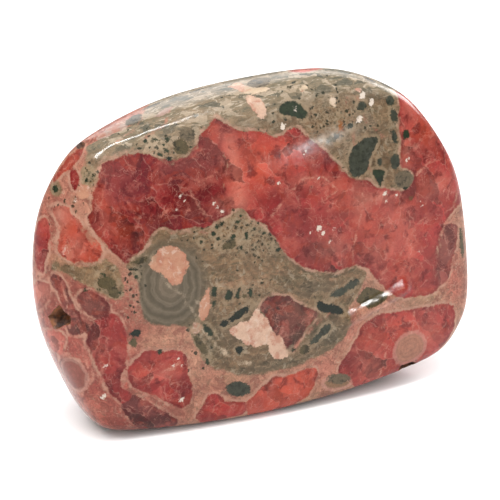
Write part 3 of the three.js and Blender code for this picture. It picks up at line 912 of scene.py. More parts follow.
# Soft clouds of tint inside crystals: chart, tint, middle, half sizes and strength.
CRYSTAL_CLOUDS = [
    (FRONT, SALMON, (-33, 13), (2, 6), 0.5),
    (FRONT, CORAL, (-30.4, 9), (2, 4), 0.5),
    (FRONT, CRIMSON, (-22, 15), (3, 2.4), 0.7),
    (FRONT, DEEP_RED, (-26, 18.4), (4.4, 2.6), 0.5),
    (FRONT, DEEP_RED, (-14.6, 17), (2.6, 3.4), 0.7),
    (FRONT, DEEP_RED, (-20, 17.8), (3, 2), 0.75),
    (FRONT, PLUM, (-20, 10.6), (5, 1.4), 0.5),
    (FRONT, DEEP_RED, (-17.6, 11.6), (4, 1.8), 0.7),
    (FRONT, CRIMSON, (-14.4, 21.6), (2.2, 2.6), 0.6),
    (FRONT, CORAL, (-10.8, 24.6), (1.4, 2), 0.7),
    (FRONT, MAUVE, (-26, 9.4), (3, 2.6), 0.4),
    (FRONT, SALMON, (-8.2, 21.4), (1.8, 4.2), 0.85),
    (FRONT, PALE_PINK, (-7.8, 16), (1.1, 7), 0.5),
    (FRONT, PALE_PINK, (-9.4, 12.4), (3, 1.2), 0.45),
    (FRONT, SALMON, (-8.4, 13.6), (1.7, 4), 0.7),
    (FRONT, CORAL, (-3.4, 18.6), (4.6, 5), 0.95),
    (FRONT, CORAL, (2.6, 20), (3, 3), 0.6),
    (FRONT, RASPBERRY, (1.6, 10.6), (3.6, 3.4), 0.85),
    (FRONT, DEEP_RED, (0.4, 12.8), (2.2, 1.6), 0.5),
    (FRONT, SALMON, (5.6, 14.4), (3.4, 1.6), 0.6),
    (FRONT, RASPBERRY, (7, 17.6), (2.8, 2), 0.45),
    (FRONT, SALMON, (11.4, 12.8), (3, 1.8), 0.7),
    (FRONT, CORAL, (13.4, 9.6), (3, 3), 0.6),
    (FRONT, DEEP_RED, (11.4, 6.8), (2.4, 1.2), 0.5),
    (FRONT, RASPBERRY, (5, 5.6), (3.2, 2.4), 0.6),
    (FRONT, ROSE, (10.4, 0.6), (3.6, 2.6), 0.5),
    (FRONT, MAUVE, (5.4, 0.6), (2.6, 1.8), 0.4),
    (FRONT, SALMON, (17, 8), (2, 4.4), 0.85),
    (FRONT, ROSE, (25, 3), (4.6, 4.6), 0.4),
    (FRONT, PALE_PINK, (21, 8.6), (4, 1.2), 0.4),
    (FRONT, CORAL, (19, 3), (3, 4), 0.55),
    (FRONT, SALMON, (22, -2), (3.2, 2.4), 0.7),
    (FRONT, CORAL, (26, -6.6), (4, 2.8), 0.6),
    (FRONT, CRIMSON, (30.6, -5.4), (2.4, 3.6), 0.4),
    (FRONT, SALMON, (28, -2.4), (1.4, 3.4), 0.6),
    (FRONT, ROSE, (27.8, 16.4), (1.5, 3.6), 0.8),
    (FRONT, CRIMSON, (32, 14), (3, 3), 0.6),
    (FRONT, CORAL, (33.4, 19), (3.6, 4), 0.8),
    (FRONT, SALMON, (34.4, 8.4), (3.6, 2.2), 0.8),
    (FRONT, CRIMSON, (34, 3.6), (3, 2), 0.6),
    (FRONT, SALMON, (30, 24), (2.4, 3), 0.6),
    (FRONT, CORAL, (19, -19), (4, 3), 0.6),
    (FRONT, SALMON, (18.4, -25), (3.4, 3.4), 0.7),
    (FRONT, CORAL, (25, -18), (3.4, 2.4), 0.5),
    (FRONT, SALMON, (32.4, -21), (3, 4), 0.55),
    (FRONT, RASPBERRY, (13.4, -22.6), (1.4, 2.6), 0.6),
    (FRONT, DEEP_RED, (-20.8, -22.4), (1.4, 3.2), 0.55),
    (FRONT, CORAL, (-28.4, -17.4), (2, 1.8), 0.6),
    (FRONT, SALMON, (-24, -18.6), (2.6, 1.2), 0.7),
    (FRONT, DEEP_RED, (-32.4, -14), (0.9, 5), 0.6),
    (FRONT, SALMON, (-36.4, -12.4), (1.2, 3), 0.5),
    (FRONT, RASPBERRY, (-6, -27.6), (2.2, 1.4), 0.6),
    (FRONT, PLUM, (-3.6, -24), (1.6, 1.4), 0.6),
    (FRONT, PLUM, (-1.4, -10.6), (2.4, 2.6), 0.6),
    (FRONT, ROSE, (5.4, -11.6), (1.2, 1), 0.4),
    (FRONT, DARK_OLIVE, (2.6, -12), (3, 2.6), 0.6),
    (FRONT, PLUM, (2, -12), (2.4, 2), 0.6),
    (CORNER, PALE_PINK, (-2, 10.6), (2, 2.6), 0.85),
    (CORNER, SALMON, (2.6, 6.2), (2, 2.2), 0.8),
    (FRONT, DEEP_RED, (36.2, -9.4), (1, 2.2), 0.5),
]

# Soft clouds of tint in the matrix between the crystals.
MATRIX_CLOUDS = [
    (CORNER, CRIMSON, (2, -16), (12, 12), 0.9),
    (CORNER, CRIMSON, (3, -5), (8, 7), 0.6),
    (CORNER, MAUVE, (5, -4), (5, 4), 0.8),
    (CORNER, SLATE_GREEN, (8.6, -8.6), (2.6, 1.8), 0.6),
    (FRONT, CRIMSON, (-34, -14), (6, 11), 0.85),
    (FRONT, CRIMSON, (-31, -27), (9, 4), 0.85),
    (FRONT, MAUVE, (-28, -29), (7, 3), 0.7),
    (CORNER, ROSE, (-2, 9), (4, 6), 0.8),
    (CORNER, CRIMSON, (-5, 4), (2.6, 9), 0.85),
    (CORNER, PALE_PINK, (1.4, 9.6), (2, 3.6), 0.6),
    (CORNER, TAN, (1, 2.6), (6, 2), 0.8),
    (CORNER, PALE_PINK, (-5, -1.6), (2.4, 1.6), 0.7),
    (CORNER, ROSE, (-3, -13), (4, 4), 0.7),
    (CORNER, ROSE, (7, -12), (4, 5), 0.6),
    (CORNER, MAUVE, (8.4, -15.6), (1.6, 4), 0.5),
    (CORNER, ROSE, (5, -25), (5, 3), 0.8),
    (FRONT, PEACH, (-27, -12), (5, 1.4), 0.7),
    (FRONT, PEACH, (-19, -17), (2, 5), 0.5),
    (FRONT, PEACH, (-22, -11), (5, 1.6), 0.5),
    (FRONT, ROSE, (-28, -24), (4, 2.4), 0.8),
    (FRONT, ROSE, (-15, -22), (2.4, 3), 0.6),
    (FRONT, TAN, (-12, -21.6), (4, 1.6), 0.6),
    (FRONT, ROSE, (8, -23), (4, 3), 0.7),
    (FRONT, TAN, (1, -30), (8, 1.6), 0.9),
    (FRONT, TAN, (10, -30), (5, 1.6), 0.9),
    (FRONT, ROSE, (14, -16.4), (3, 3), 0.8),
    (FRONT, PALE_PINK, (22, -13.4), (5, 1.2), 0.7),
    (FRONT, TAN, (32, -13.4), (5, 1.4), 0.9),
    (FRONT, SALMON, (38.6, -13), (3, 3.4), 0.7),
    (FRONT, SALMON, (38.4, -9), (2, 4), 0.6),
    (FRONT, SALMON, (36.8, 0.6), (2, 3), 0.5),
    (FRONT, ROSE, (-34, -1), (5, 3), 0.3),
    (TOP, ROSE, (-30, 4), (8, 6), 0.7),
    (TOP, SALMON, (-24, 8), (5, 3), 0.6),
    (TOP, SALMON, (31, 0), (4, 16), 0.9),
]

# Soft clouds of tint in the olive matrix.
OLIVE_CLOUDS = [
    (FRONT, GREY_OLIVE, (-22, -5), (6, 5), 0.9),
    (FRONT, GREY, (-23.4, -6), (4, 3), 0.6),
    (FRONT, DARK_OLIVE, (-22, -8.6), (5, 1.4), 0.7),
    (FRONT, KHAKI, (-14, 5), (5, 4), 0.5),
    (FRONT, KHAKI, (-8, 0), (7, 2.6), 0.6),
    (FRONT, DARK_OLIVE, (-15.4, -0.6), (4, 1), 0.4),
    (FRONT, TAN, (-7, -3), (5, 2), 0.5),
    (FRONT, DARK_OLIVE, (4.6, -3.6), (4, 1.6), 0.7),
    (FRONT, GREY_OLIVE, (7, -6.6), (5, 2.4), 0.7),
    (FRONT, GREY_OLIVE, (-9, -13), (7, 4), 0.5),
    (FRONT, GREY_OLIVE, (-2, -20.4), (10, 1.6), 0.8),
    (FRONT, GREY_OLIVE, (9.6, -17), (4, 3.4), 0.7),
    (FRONT, DARK_OLIVE, (-15, -14), (2, 4), 0.7),
    (FRONT, SLATE_GREEN, (8, -16), (4, 2.4), 0.5),
    (FRONT, TAN, (-27, 21.8), (6, 1.6), 0.7),
    (FRONT, KHAKI, (-10, 27), (6, 2.4), 0.6),
    (FRONT, PALE_GREY, (18.6, 24), (2.4, 3), 0.5),
    (FRONT, TAN, (10, 22.6), (3.4, 3), 0.5),
    (FRONT, DARK_OLIVE, (11, 24.6), (2.4, 2.6), 0.5),
    (FRONT, GREY_OLIVE, (22, 22), (4, 4), 0.6),
    (FRONT, PALE_GREY, (15.6, 18.6), (2.2, 3), 0.4),
    (TOP, TAN, (-14, -2), (10, 4), 0.6),
    (TOP, GREY_OLIVE, (12, 0), (14, 4), 0.8),
    (TOP, KHAKI, (16, -8), (8, 3), 0.4),
]

# Where little dark specks gather: chart, middle, half sizes and strength.
SPECKLED_PLACES = [
    (FRONT, (-9, 7), (8, 3.4), 1.0),
    (FRONT, (-4, 4), (5, 3), 0.8),
    (FRONT, (-21.4, 23), (3.4, 2), 1.0),
    (FRONT, (11, 24.6), (4, 3), 0.9),
    (FRONT, (16, 25), (5, 4), 0.5),
    (FRONT, (-29.4, -2), (1.6, 6), 0.8),
    (FRONT, (-4, -4.6), (6, 2), 0.6),
    (CORNER, (2.7, 18), (2.4, 2.2), 1.0),
    (CORNER, (0, 12), (3, 3), 0.5),
    (TOP, (2, -5), (12, 4), 0.25),
    (FRONT, (-17, -14), (2, 5), 0.4),
]

# Where the polish is brightest, along the edges that stand proud: chart, middle, half sizes, strength.
POLISHED_PLACES = [
    (FRONT, (20, -12.8), (10, 3), 1.0),
    (FRONT, (-27, 23), (9, 4), 1.0),
    (TOP, (-25, -0.6), (10, 4), 1.0),
    (CORNER, (0, 21), (8, 4), 0.9),
]

# The banded eye: its middle and the half sizes that its bands have a unit apart.
EYE_MIDDLE = (-22.6, -1.4)
EYE_SHAPE = (1.0, 1.15)
FAR_FROM_EYE = 50.0  # added where the skin turns from the front, so that no band is drawn there

# Crystals, olive matrix and grains where no chart is drawn, cast by a seeded rule:
# tints to choose from, how many, their sizes, how many flat sides, and the seed.
HIDDEN_CRYSTALS = ([RASPBERRY, CRIMSON, CRIMSON, CORAL, SALMON, MAUVE], 46, (5.0, 11.0), 9, 11)
HIDDEN_OLIVE = ([OLIVE, KHAKI, GREY_OLIVE], 16, (6.0, 11.0), 10, 23)
HIDDEN_GRAINS = ([BOTTLE_GREEN, SLATE_GREEN, DARK_OLIVE, BLACK_GREEN], 110, (0.5, 1.7), 12, 37)
HIDDEN_LUMPS = ([PEACH, CREAM, WHITE_PEACH], 14, (1.0, 2.6), 9, 53)
NEAREST_SIDE = 0.5  # a lump's nearest side is at least this share of its size from its middle
LUMP_SOFTNESS = 0.12  # how softly a lump's sides meet, as a share of its size
LUMP_REACH = (1.8, 2.0)  # how far its corners may reach: sizes, and millimetres more


# ---- Painting the pattern onto the skin ----
class Skin:
    """The stone's vertices in its own frame, and which way the ground skin faces at each."""

    def __init__(self, mesh):
        flat = np.empty(len(mesh.vertices) * 3)
        mesh.vertices.foreach_get("co", flat)
        self.points = flat.reshape(-1, 3) / MM
        self.heights, self.facings = levels_at(self.points)
        seen = [self.facings @ np.array(chart["facing"]) for chart in (FRONT, TOP, CORNER)]
        self.drawn = np.max(seen, axis=0)

    def on_chart(self, chart, low, high):
        """The vertices near a box on a chart, their places on it, and how much their marks shrink there."""
        offsets = self.points - np.array(chart["from"])
        places = np.stack([offsets @ np.array(chart["right"]), offsets @ np.array(chart["up"])], axis=1)
        away = np.clip(CHART_EDGE - self.facings @ np.array(chart["facing"]), 0, None)
        boxed = (places > low + BEYOND).all(axis=1) & (places < high - BEYOND).all(axis=1)
        chosen = np.flatnonzero(boxed & (away < CHART_FADE))
        return chosen, places[chosen], away[chosen] * FADE_STEEPNESS

    def soft_patch(self, chart, middle, half_sizes, strength):
        """The vertices near a soft round patch, and how strongly each lies in it."""
        middle, half_sizes = np.array(middle), np.array(half_sizes)
        chosen, places, away = self.on_chart(chart, middle - 2 * half_sizes, middle + 2 * half_sizes)
        spread = (((places - middle) / half_sizes) ** 2).sum(axis=1)
        return chosen, strength * np.exp(-spread - away)


class Layer:
    """How deep each vertex is inside this layer's outlines, and the tint of the nearest one."""

    def __init__(self, skin, tint):
        self.depth = np.full(len(skin.points), BEYOND)
        self.tint = np.tile(colour(tint), (len(skin.points), 1))

    def lay(self, chosen, depths, tint):
        """Adds an outline. Where it overlaps an older one, a thin seam is left between them."""
        older = self.depth[chosen]
        nearer = depths > older
        seamed = np.where((depths > 0) & (older > 0), np.abs(depths - older) * SEAM_SHARE, np.inf)
        self.depth[chosen] = np.minimum(np.maximum(depths, older), seamed)
        self.tint[chosen[nearer]] = colour(tint)

    def cloud(self, skin, chart, tint, middle, half_sizes, strength):
        chosen, shares = skin.soft_patch(chart, middle, half_sizes, strength)
        shares = shares[:, None]
        self.tint[chosen] = self.tint[chosen] * (1 - shares) + np.array(colour(tint)) * shares


def rounded(outline):
    """Cuts an outline's corners, so that it runs in curves."""
    corners = np.array(outline, dtype=float)
    after = np.roll(corners, -1, axis=0)
    kept = 1 - CORNER_CUT
    cuts = [corners * kept + after * CORNER_CUT, corners * CORNER_CUT + after * kept]
    return np.stack(cuts, axis=1).reshape(-1, 2)


def line_distances(places, start, end):
    run = end - start
    share = np.clip((places - start) @ run / max(run @ run, 1e-9), 0, 1)
    return np.linalg.norm(places - start - share[:, None] * run, axis=1)


def outline_depths(places, outline):
    """How deep places are inside a closed outline: negative outside."""
    inside = np.zeros(len(places), dtype=bool)
    nearest = np.full(len(places), np.inf)
    for start, end in zip(outline, np.roll(outline, -1, axis=0)):
        nearest = np.minimum(nearest, line_distances(places, start, end))
        if start[1] == end[1]:
            continue
        crossing = (start[1] > places[:, 1]) != (end[1] > places[:, 1])
        meets = (end[0] - start[0]) * (places[:, 1] - start[1]) / (end[1] - start[1]) + start[0]
        inside ^= crossing & (places[:, 0] < meets)
    return np.where(inside, nearest, -nearest)


def lay_outlines(skin, layer, outlines):
    for chart, tint, corners in outlines:
        outline = rounded(corners)
        chosen, places, away = skin.on_chart(chart, outline.min(axis=0), outline.max(axis=0))
        layer.lay(chosen, outline_depths(places, outline) - away, tint)


def lay_grains(skin, layer, grains):
    for chart, tint, middle, half_sizes, turn in grains:
        middle, half_sizes, turn = np.array(middle), np.array(half_sizes), math.radians(turn)
        chosen, places, away = skin.on_chart(chart, middle - GRAIN_REACH, middle + GRAIN_REACH)
        across, along = (places - middle).T
        lengthwise = across * math.cos(turn) + along * math.sin(turn)
        crosswise = along * math.cos(turn) - across * math.sin(turn)
        turned = np.stack([lengthwise, crosswise], axis=1)
        ratio = np.linalg.norm(turned / half_sizes, axis=1)
        layer.lay(chosen, (1 - ratio) * half_sizes.min() - away, tint)


def lay_seams(skin, layer, seams):
    for chart, tint, width, corners in seams:
        route = np.array(corners, dtype=float)
        chosen, places, away = skin.on_chart(chart, route.min(axis=0), route.max(axis=0))
        distances = [line_distances(places, start, end) for start, end in zip(route[:-1], route[1:])]
        depths = width / 2 - np.min(distances, axis=0) - away
        nearer = depths > layer.depth[chosen]
        layer.depth[chosen[nearer]] = depths[nearer]
        layer.tint[chosen[nearer]] = colour(tint)


def cast_hidden(skin, layer, tints, count, sizes, sides, seed):
    """Lays lumps of random shape, with soft corners, where no chart is drawn."""
    random = np.random.default_rng(seed)
    unseen = np.flatnonzero(skin.drawn < CHART_EDGE)
    seen = np.clip(skin.drawn - CHART_EDGE, 0, None) * FADE_STEEPNESS
    for middle in skin.points[random.choice(unseen, count, replace=False)]:
        size = random.uniform(*sizes)
        tint = tints[random.integers(len(tints))]
        sides_facing = random.normal(size=(sides, 3))
        sides_facing /= np.linalg.norm(sides_facing, axis=1, keepdims=True)
        reaches = size * random.uniform(NEAREST_SIDE, 1.0, sides)
        reach = LUMP_REACH[0] * size + LUMP_REACH[1]
        chosen = np.flatnonzero(np.linalg.norm(skin.points - middle, axis=1) < reach)
        inside = reaches - (skin.points[chosen] - middle) @ sides_facing.T
        softness = LUMP_SOFTNESS * size
        depths = -softness * np.log(np.exp(-inside / softness).sum(axis=1))
        layer.lay(chosen, np.maximum(depths - seen[chosen], BEYOND), tint)


def raise_ridges(mesh):
    """Lifts the front along each ridge: two flat sides that meet in a crest and fade at its ends."""
    skin = Skin(mesh)
    for middle, turn, half_length, height, upper_slope, lower_slope in RIDGES:
        middle = np.array(middle)
        chosen, places, away = skin.on_chart(FRONT, middle - RIDGE_REACH, middle + RIDGE_REACH)
        chosen, places = chosen[away == 0], places[away == 0] - middle
        turn = math.radians(turn)
        along = places @ (math.cos(turn), math.sin(turn))
        above = places @ (-math.sin(turn), math.cos(turn))
        outward = -skin.points[chosen, 1]
        centre = np.argmin(np.linalg.norm(places, axis=1))
        facing = skin.facings[chosen[centre]]
        level = outward[centre] + places @ (facing[[0, 2]] / facing[1]) + height
        lean, spread = (upper_slope - lower_slope) / 2, (upper_slope + lower_slope) / 2
        roof = level - lean * above - spread * (np.hypot(above, CREST_ROUNDING) - CREST_ROUNDING)
        waves = [noise.noise(Vector(point) * RIPPLES_PER_MM) for point in skin.points[chosen]]
        ripple = RIPPLE_HEIGHT * np.array(waves)
        fade = np.clip((half_length - np.abs(along)) / RIDGE_FADE, 0, 1)
        lift = np.clip(roof + ripple - outward, 0, None) * fade
        skin.points[chosen, 1] -= lift
    mesh.vertices.foreach_set("co", (skin.points * MM).ravel())
    mesh.update()


def gathered(skin, patches):
    """How strongly each vertex lies in soft patches: 0 outside them all."""
    amounts = np.zeros(len(skin.points))
    for patch in patches:
        chosen, shares = skin.soft_patch(*patch)
        amounts[chosen] += (1 - amounts[chosen]) * shares
    return amounts


def store(mesh, name, kind, channel, values):
    attribute = mesh.attributes.new(name, kind, "POINT")
    attribute.data.foreach_set(channel, np.ascontiguousarray(values, dtype=np.float32).ravel())


def paint(mesh):
    skin = Skin(mesh)
    matrix, olive, crystal = Layer(skin, TAN_PINK), Layer(skin, OLIVE), Layer(skin, CRIMSON)
    pale, orb, grain = Layer(skin, PEACH), Layer(skin, TAN), Layer(skin, BOTTLE_GREEN)
    seam, painted_glint = Layer(skin, PALE_PINK), Layer(skin, PAINTED_GLINT)
    lay_outlines(skin, olive, OLIVE_FIELDS)
    cast_hidden(skin, olive, *HIDDEN_OLIVE)
    lay_outlines(skin, crystal, CRYSTALS)
    cast_hidden(skin, crystal, *HIDDEN_CRYSTALS)
    lay_outlines(skin, pale, PALE_LUMPS)
    cast_hidden(skin, pale, *HIDDEN_LUMPS)
    lay_outlines(skin, orb, ORBS)
    lay_outlines(skin, grain, GRAIN_OUTLINES)
    lay_grains(skin, grain, GRAINS)
    cast_hidden(skin, grain, *HIDDEN_GRAINS)
    lay_seams(skin, seam, SEAMS)
    # Painted glints, laid as little pale grains.
    for chart, middle, size in PAINTED_GLINTS:
        lay_grains(skin, painted_glint, [(chart, PAINTED_GLINT, middle, (size, size * GLINT_SLIMNESS), GLINT_TURN)])
    for layer, clouds in ((crystal, CRYSTAL_CLOUDS), (matrix, MATRIX_CLOUDS), (olive, OLIVE_CLOUDS)):
        for cloud in clouds:
            layer.cloud(skin, *cloud)
    ground = {"crystal": crystal, "olive": olive, "pale": pale, "orb": orb}
    for name, layer in {**ground, "grain": grain, "seam": seam, "painted_glint": painted_glint}.items():
        store(mesh, name + "_depth", "FLOAT", "value", layer.depth)
        store(mesh, name + "_tint", "FLOAT_COLOR", "color", layer.tint)
    store(mesh, "matrix_tint", "FLOAT_COLOR", "color", matrix.tint)
    store(mesh, "speckle", "FLOAT", "value", gathered(skin, SPECKLED_PLACES))
    store(mesh, "polish", "FLOAT", "value", gathered(skin, POLISHED_PLACES))
    across = (skin.points[:, [0, 2]] - np.array(EYE_MIDDLE)) / np.array(EYE_SHAPE)
    turned_away = np.where(skin.facings[:, 1] < -CHART_EDGE, 0.0, FAR_FROM_EYE)
    store(mesh, "eye_distance", "FLOAT", "value", np.linalg.norm(across, axis=1) + turned_away)
    # How far the skin faces up: the olive look lays the crown's streaks and its painted sheen by it.
    store(mesh, "crown", "FLOAT", "value", skin.facings[:, 2])


# Coats in patches of noise: tint, share, patches a millimetre, the heights between which they
# fade in, and the noise's detail, roughness and distortion.
MATRIX_COATS = [
    (BLUSH_RED, 0.55, 0.42, 0.5, 0.6, 6.0, 0.62, 0.5),
    (GREY_OLIVE, 0.5, 0.8, 0.56, 0.66, 6.0, 0.7, 0.9),
    (PALE_PINK, 0.5, 1.1, 0.53, 0.66, 7.0, 0.7, 1.2),
]
CRUMB_COATS = [(DARK_CRUMB, 0.6, 1.9, 0.58, 0.68, 5.0, 0.7, 0.0)]
OLIVE_COATS = [
    (GRAVEL, 0.34, 2.6, 0.52, 0.6, 5.0, 0.7, 0.0),
    (CHALK, 0.4, 0.55, 0.56, 0.64, 6.0, 0.68, 0.8),
]
CRYSTAL_COATS = [
    (HAZE, 0.2, 0.12, 0.44, 0.62, 3.0, 0.55, 0.6),
    (EMBER, 0.28, 0.24, 0.5, 0.6, 5.0, 0.6, 0.8),
    (MILK, 0.45, 0.3, 0.5, 0.66, 7.0, 0.66, 0.7),
    (FROST, 0.5, 1.0, 0.56, 0.72, 7.0, 0.74, 0.8),
    (DEEP_RED, 0.64, 0.42, 0.53, 0.66, 5.0, 0.6, 0.4),
]
LUMP_COATS = [
    (LUMP_BLUSH, 0.6, 0.38, 0.47, 0.6, 6.0, 0.6, 0.0),
    (LUMP_CHALK, 0.5, 0.7, 0.52, 0.64, 6.0, 0.65, 0.6),
]
GRAIN_COATS = [
    (MOSS, 0.26, 1.6, 0.52, 0.66, 5.0, 0.7, 0.0),
    (PITCH, 0.6, 0.8, 0.5, 0.62, 5.0, 0.65, 0.0),
]
LINING_COATS = [
    (RUST, 0.7, 0.5, 0.5, 0.62, 4.0, 0.55, 0.0),
    (SOOT, 0.75, 0.7, 0.5, 0.6, 5.0, 0.55, 0.0),
]

# Veins in the crystals: tint, share, veins a millimetre and width.
CRYSTAL_VEINS = [
    (LACE, 0.5, 0.5, 0.008),
    (BROAD_VEIN, 0.42, 0.22, 0.012),
    (THIN_VEIN, 0.25, 0.7, 0.014),
]


# ---- Effects that are used again and again ----
HALF_GREY = (0.5, 0.5, 0.5)  # the middle of a coloured noise, so that what is left swings both ways
FINE_PATCHES = 4.5  # how many fine patches lie along a broad one in mottling
WANDER_GAIN = 2.4  # how far a mask's edge swings, for the wander and the fray that are asked for
FRAY_GAIN = 3.0
STONE_SATURATION = 1.05
STONE_VALUE = 0.61
STONE_IOR = 1.55
STONE_SPECULAR = 0.2
POLISH_GAIN = 0.65  # the share of its roughness that the stone loses where it is polished brightest
def noise_patches(wire, place, scale, low, high, **settings):
    """Soft patches of noise: 0 where it is under the low height, and 1 where it is over the high one."""
    return wire.ramp(wire.noise(place, scale, **settings), low, high)


def mottling_group():
    """Lightens and darkens a tint in two sizes of soft patch."""
    wire, given, result = new_group(
        "Mineral mottling",
        "ShaderNodeTree",
        {
            "Place": ("Vector", None),
            "Tint": ("Color", None),
            "Patches per mm": ("Float", 1.0),
            "Strength": ("Float", 0.3),
        },
        {"Tint": "Color"},
    )
    broad = wire.noise(given["Place"], given["Patches per mm"], detail=4.0)
    smaller = wire.math("MULTIPLY", given["Patches per mm"], FINE_PATCHES)
    fine = wire.noise(given["Place"], smaller, detail=6.0, roughness=0.7)
    swing = wire.math("SUBTRACT", wire.math("ADD", broad, fine), 1.0)
    gain = wire.math("MULTIPLY_ADD", swing, wire.math("MULTIPLY", given["Strength"], 2.0), 1.0)
    wire.feed(result["Tint"], wire.scaled(given["Tint"], wire.math("MAXIMUM", gain, 0.05)))
    return wire.tree


def ragged_mask_group():
    """Turns a depth inside an outline into a mask whose edge wanders and frays."""
    wire, given, result = new_group(
        "Ragged mask",
        "ShaderNodeTree",
        {
            "Place": ("Vector", None),
            "Depth": ("Float", 0.0),
            "Wander": ("Float", 0.5),
            "Waves per mm": ("Float", 0.8),
            "Fray": ("Float", 0.2),
            "Softness": ("Float", 0.12),
        },
        {"Mask": "Float", "Ragged Depth": "Float"},
    )
    waves = wire.noise(given["Place"], given["Waves per mm"], detail=2.0)
    wander = wire.math("MULTIPLY", given["Wander"], WANDER_GAIN)
    shift = wire.math("MULTIPLY", wire.math("SUBTRACT", waves, 0.5), wander)
    threads = wire.noise(given["Place"], 3.2, detail=4.0, roughness=0.7, distortion=0.5)
    fray = wire.math("MULTIPLY", given["Fray"], FRAY_GAIN)
    fray = wire.math("MULTIPLY", wire.math("SUBTRACT", threads, 0.5), fray)
    depth = wire.math("ADD", given["Depth"], wire.math("ADD", shift, fray))
    low = wire.math("MULTIPLY", given["Softness"], -1.0)
    wire.feed(result["Mask"], wire.ramp(depth, low, given["Softness"]))
    wire.feed(result["Ragged Depth"], depth)
    return wire.tree


def cleavage_group():
    """Flat-sided blocks, each with its own tone and a painted shading that ramps across it as if its face
    caught the light, and the cracks between them.
    """
    wire, given, result = new_group(
        "Cleavage blocks",
        "ShaderNodeTree",
        {
            "Place": ("Vector", None),
            "Turn": ("Vector", None),
            "Stretch": ("Vector", None),
            "Cells per mm": ("Float", 0.3),
            "Bend": ("Float", 0.8),
            "Slope": ("Float", 0.8),
            "Crack Width": ("Float", 0.03),
        },
        {"Tone": "Float", "Crack": "Float"},
    )
    turned = wire.node("ShaderNodeVectorRotate", {"Rotation": given["Turn"]}, rotation_type="EULER_XYZ")
    wire.feed(turned.inputs["Vector"], given["Place"])
    bent = wire.vector("SUBTRACT", wire.noise(given["Place"], 0.4, output="Color"), HALF_GREY)
    bent = wire.scaled(bent, wire.math("MULTIPLY", given["Bend"], 2.0))
    place = wire.vector("ADD", turned.outputs["Vector"], bent)
    place = wire.vector("MULTIPLY", wire.scaled(place, given["Cells per mm"]), given["Stretch"])
    block = wire.node("ShaderNodeTexVoronoi", {"Vector": place, "Scale": 1.0})
    lean = wire.vector("SUBTRACT", block.outputs["Color"], HALF_GREY)
    away = wire.vector("SUBTRACT", place, block.outputs["Position"])
    # Painted shading: each block lightens one way across it and darkens the other, as a lit facet would.
    steepness = wire.math("MULTIPLY", given["Slope"], 2.0)
    painted_facet_shading = wire.math("MULTIPLY", wire.vector("DOT_PRODUCT", away, lean), steepness)
    own = wire.node("ShaderNodeSeparateColor", {"Color": block.outputs["Color"]}).outputs["Red"]
    wire.feed(result["Tone"], wire.math("ADD", own, painted_facet_shading))
    edge = wire.cells(place, 1.0, feature="DISTANCE_TO_EDGE")
    crack = wire.fall(edge, 0.0, given["Crack Width"])
    patches = noise_patches(wire, given["Place"], 0.5, 0.42, 0.62, detail=3.0)
    wire.feed(result["Crack"], wire.math("MULTIPLY", crack, patches))
    return wire.tree


def veins_group():
    """Thin wandering veins, along the middle heights of a noise: 1 on a vein and 0 off it."""
    wire, given, result = new_group(
        "Feathery veins",
        "ShaderNodeTree",
        {"Place": ("Vector", None), "Veins per mm": ("Float", 0.3), "Width": ("Float", 0.02)},
        {"Vein": "Float"},
    )
    heights = wire.noise(given["Place"], given["Veins per mm"], detail=5.0, roughness=0.5, distortion=0.8)
    off = wire.math("ABSOLUTE", wire.math("SUBTRACT", heights, 0.5))
    vein = wire.fall(off, 0.0, given["Width"])
    patches = noise_patches(wire, given["Place"], 0.37, 0.42, 0.64, detail=4.0)
    wire.feed(result["Vein"], wire.math("MULTIPLY", vein, patches))
    return wire.tree


MOTTLING = mottling_group()
RAGGED_MASK = ragged_mask_group()
CLEAVAGE = cleavage_group()
VEINS = veins_group()


def mottled(wire, place, tint, patches, strength):
    inputs = {"Place": place, "Tint": tint, "Patches per mm": patches, "Strength": strength}
    return wire.group(MOTTLING, inputs)["Tint"]


def masked(wire, place, name, wander, waves, fray=0.2, softness=0.12, grown=0.0):
    """A layer's ragged mask, and the ragged depth inside its outlines."""
    depth = wire.math("ADD", wire.attribute(name + "_depth"), grown)
    inputs = {"Place": place, "Depth": depth, "Wander": wander, "Waves per mm": waves}
    found = wire.group(RAGGED_MASK, {**inputs, "Fray": fray, "Softness": softness})
    return found["Mask"], found["Ragged Depth"]


def cleavage(wire, place, turn, stretch, cells_per_mm, bend, painted_facet_shading, crack_width=0.03):
    """Tones of cleavage blocks, with their painted shading, and their cracks."""
    inputs = {"Place": place, "Turn": turn, "Stretch": stretch, "Cells per mm": cells_per_mm}
    found = wire.group(CLEAVAGE, {**inputs, "Bend": bend, "Slope": painted_facet_shading, "Crack Width": crack_width})
    return found["Tone"], found["Crack"]


def veins(wire, place, veins_per_mm, width):
    return wire.group(VEINS, {"Place": place, "Veins per mm": veins_per_mm, "Width": width})["Vein"]


def over(wire, tint, mask, share, coat):
    """Lays a coat over a tint, as strongly as a mask times a share."""
    return wire.mix(wire.math("MULTIPLY", mask, share), tint, colour(coat))


def coated(wire, place, tint, coats):
    """Lays coats over a tint, each in its own patches of noise."""
    for coat, share, scale, low, high, detail, roughness, distortion in coats:
        settings = {"detail": detail, "roughness": roughness, "distortion": distortion}
        tint = over(wire, tint, noise_patches(wire, place, scale, low, high, **settings), share, coat)
    return tint


def toned(wire, tint, tone, share):
    """Brightens a tint where a tone is over one half, and darkens it where it is under."""
    return wire.scaled(tint, wire.math("MULTIPLY_ADD", wire.math("SUBTRACT", tone, 0.5), share, 1.0))


def grainy(wire, place, tint, share):
    """Fine grain in a tint, smaller than any outline."""
    grain = wire.noise(place, 4.5, detail=4.0, roughness=0.75)
    return toned(wire, tint, grain, share * 3)


def band(wire, depth, low, high, softness):
    """1 where a depth lies between two values, with soft ends."""
    above = wire.ramp(depth, low - softness, low + softness)
    below = wire.fall(depth, high - softness, high + softness)
    return wire.math("MULTIPLY", above, below)


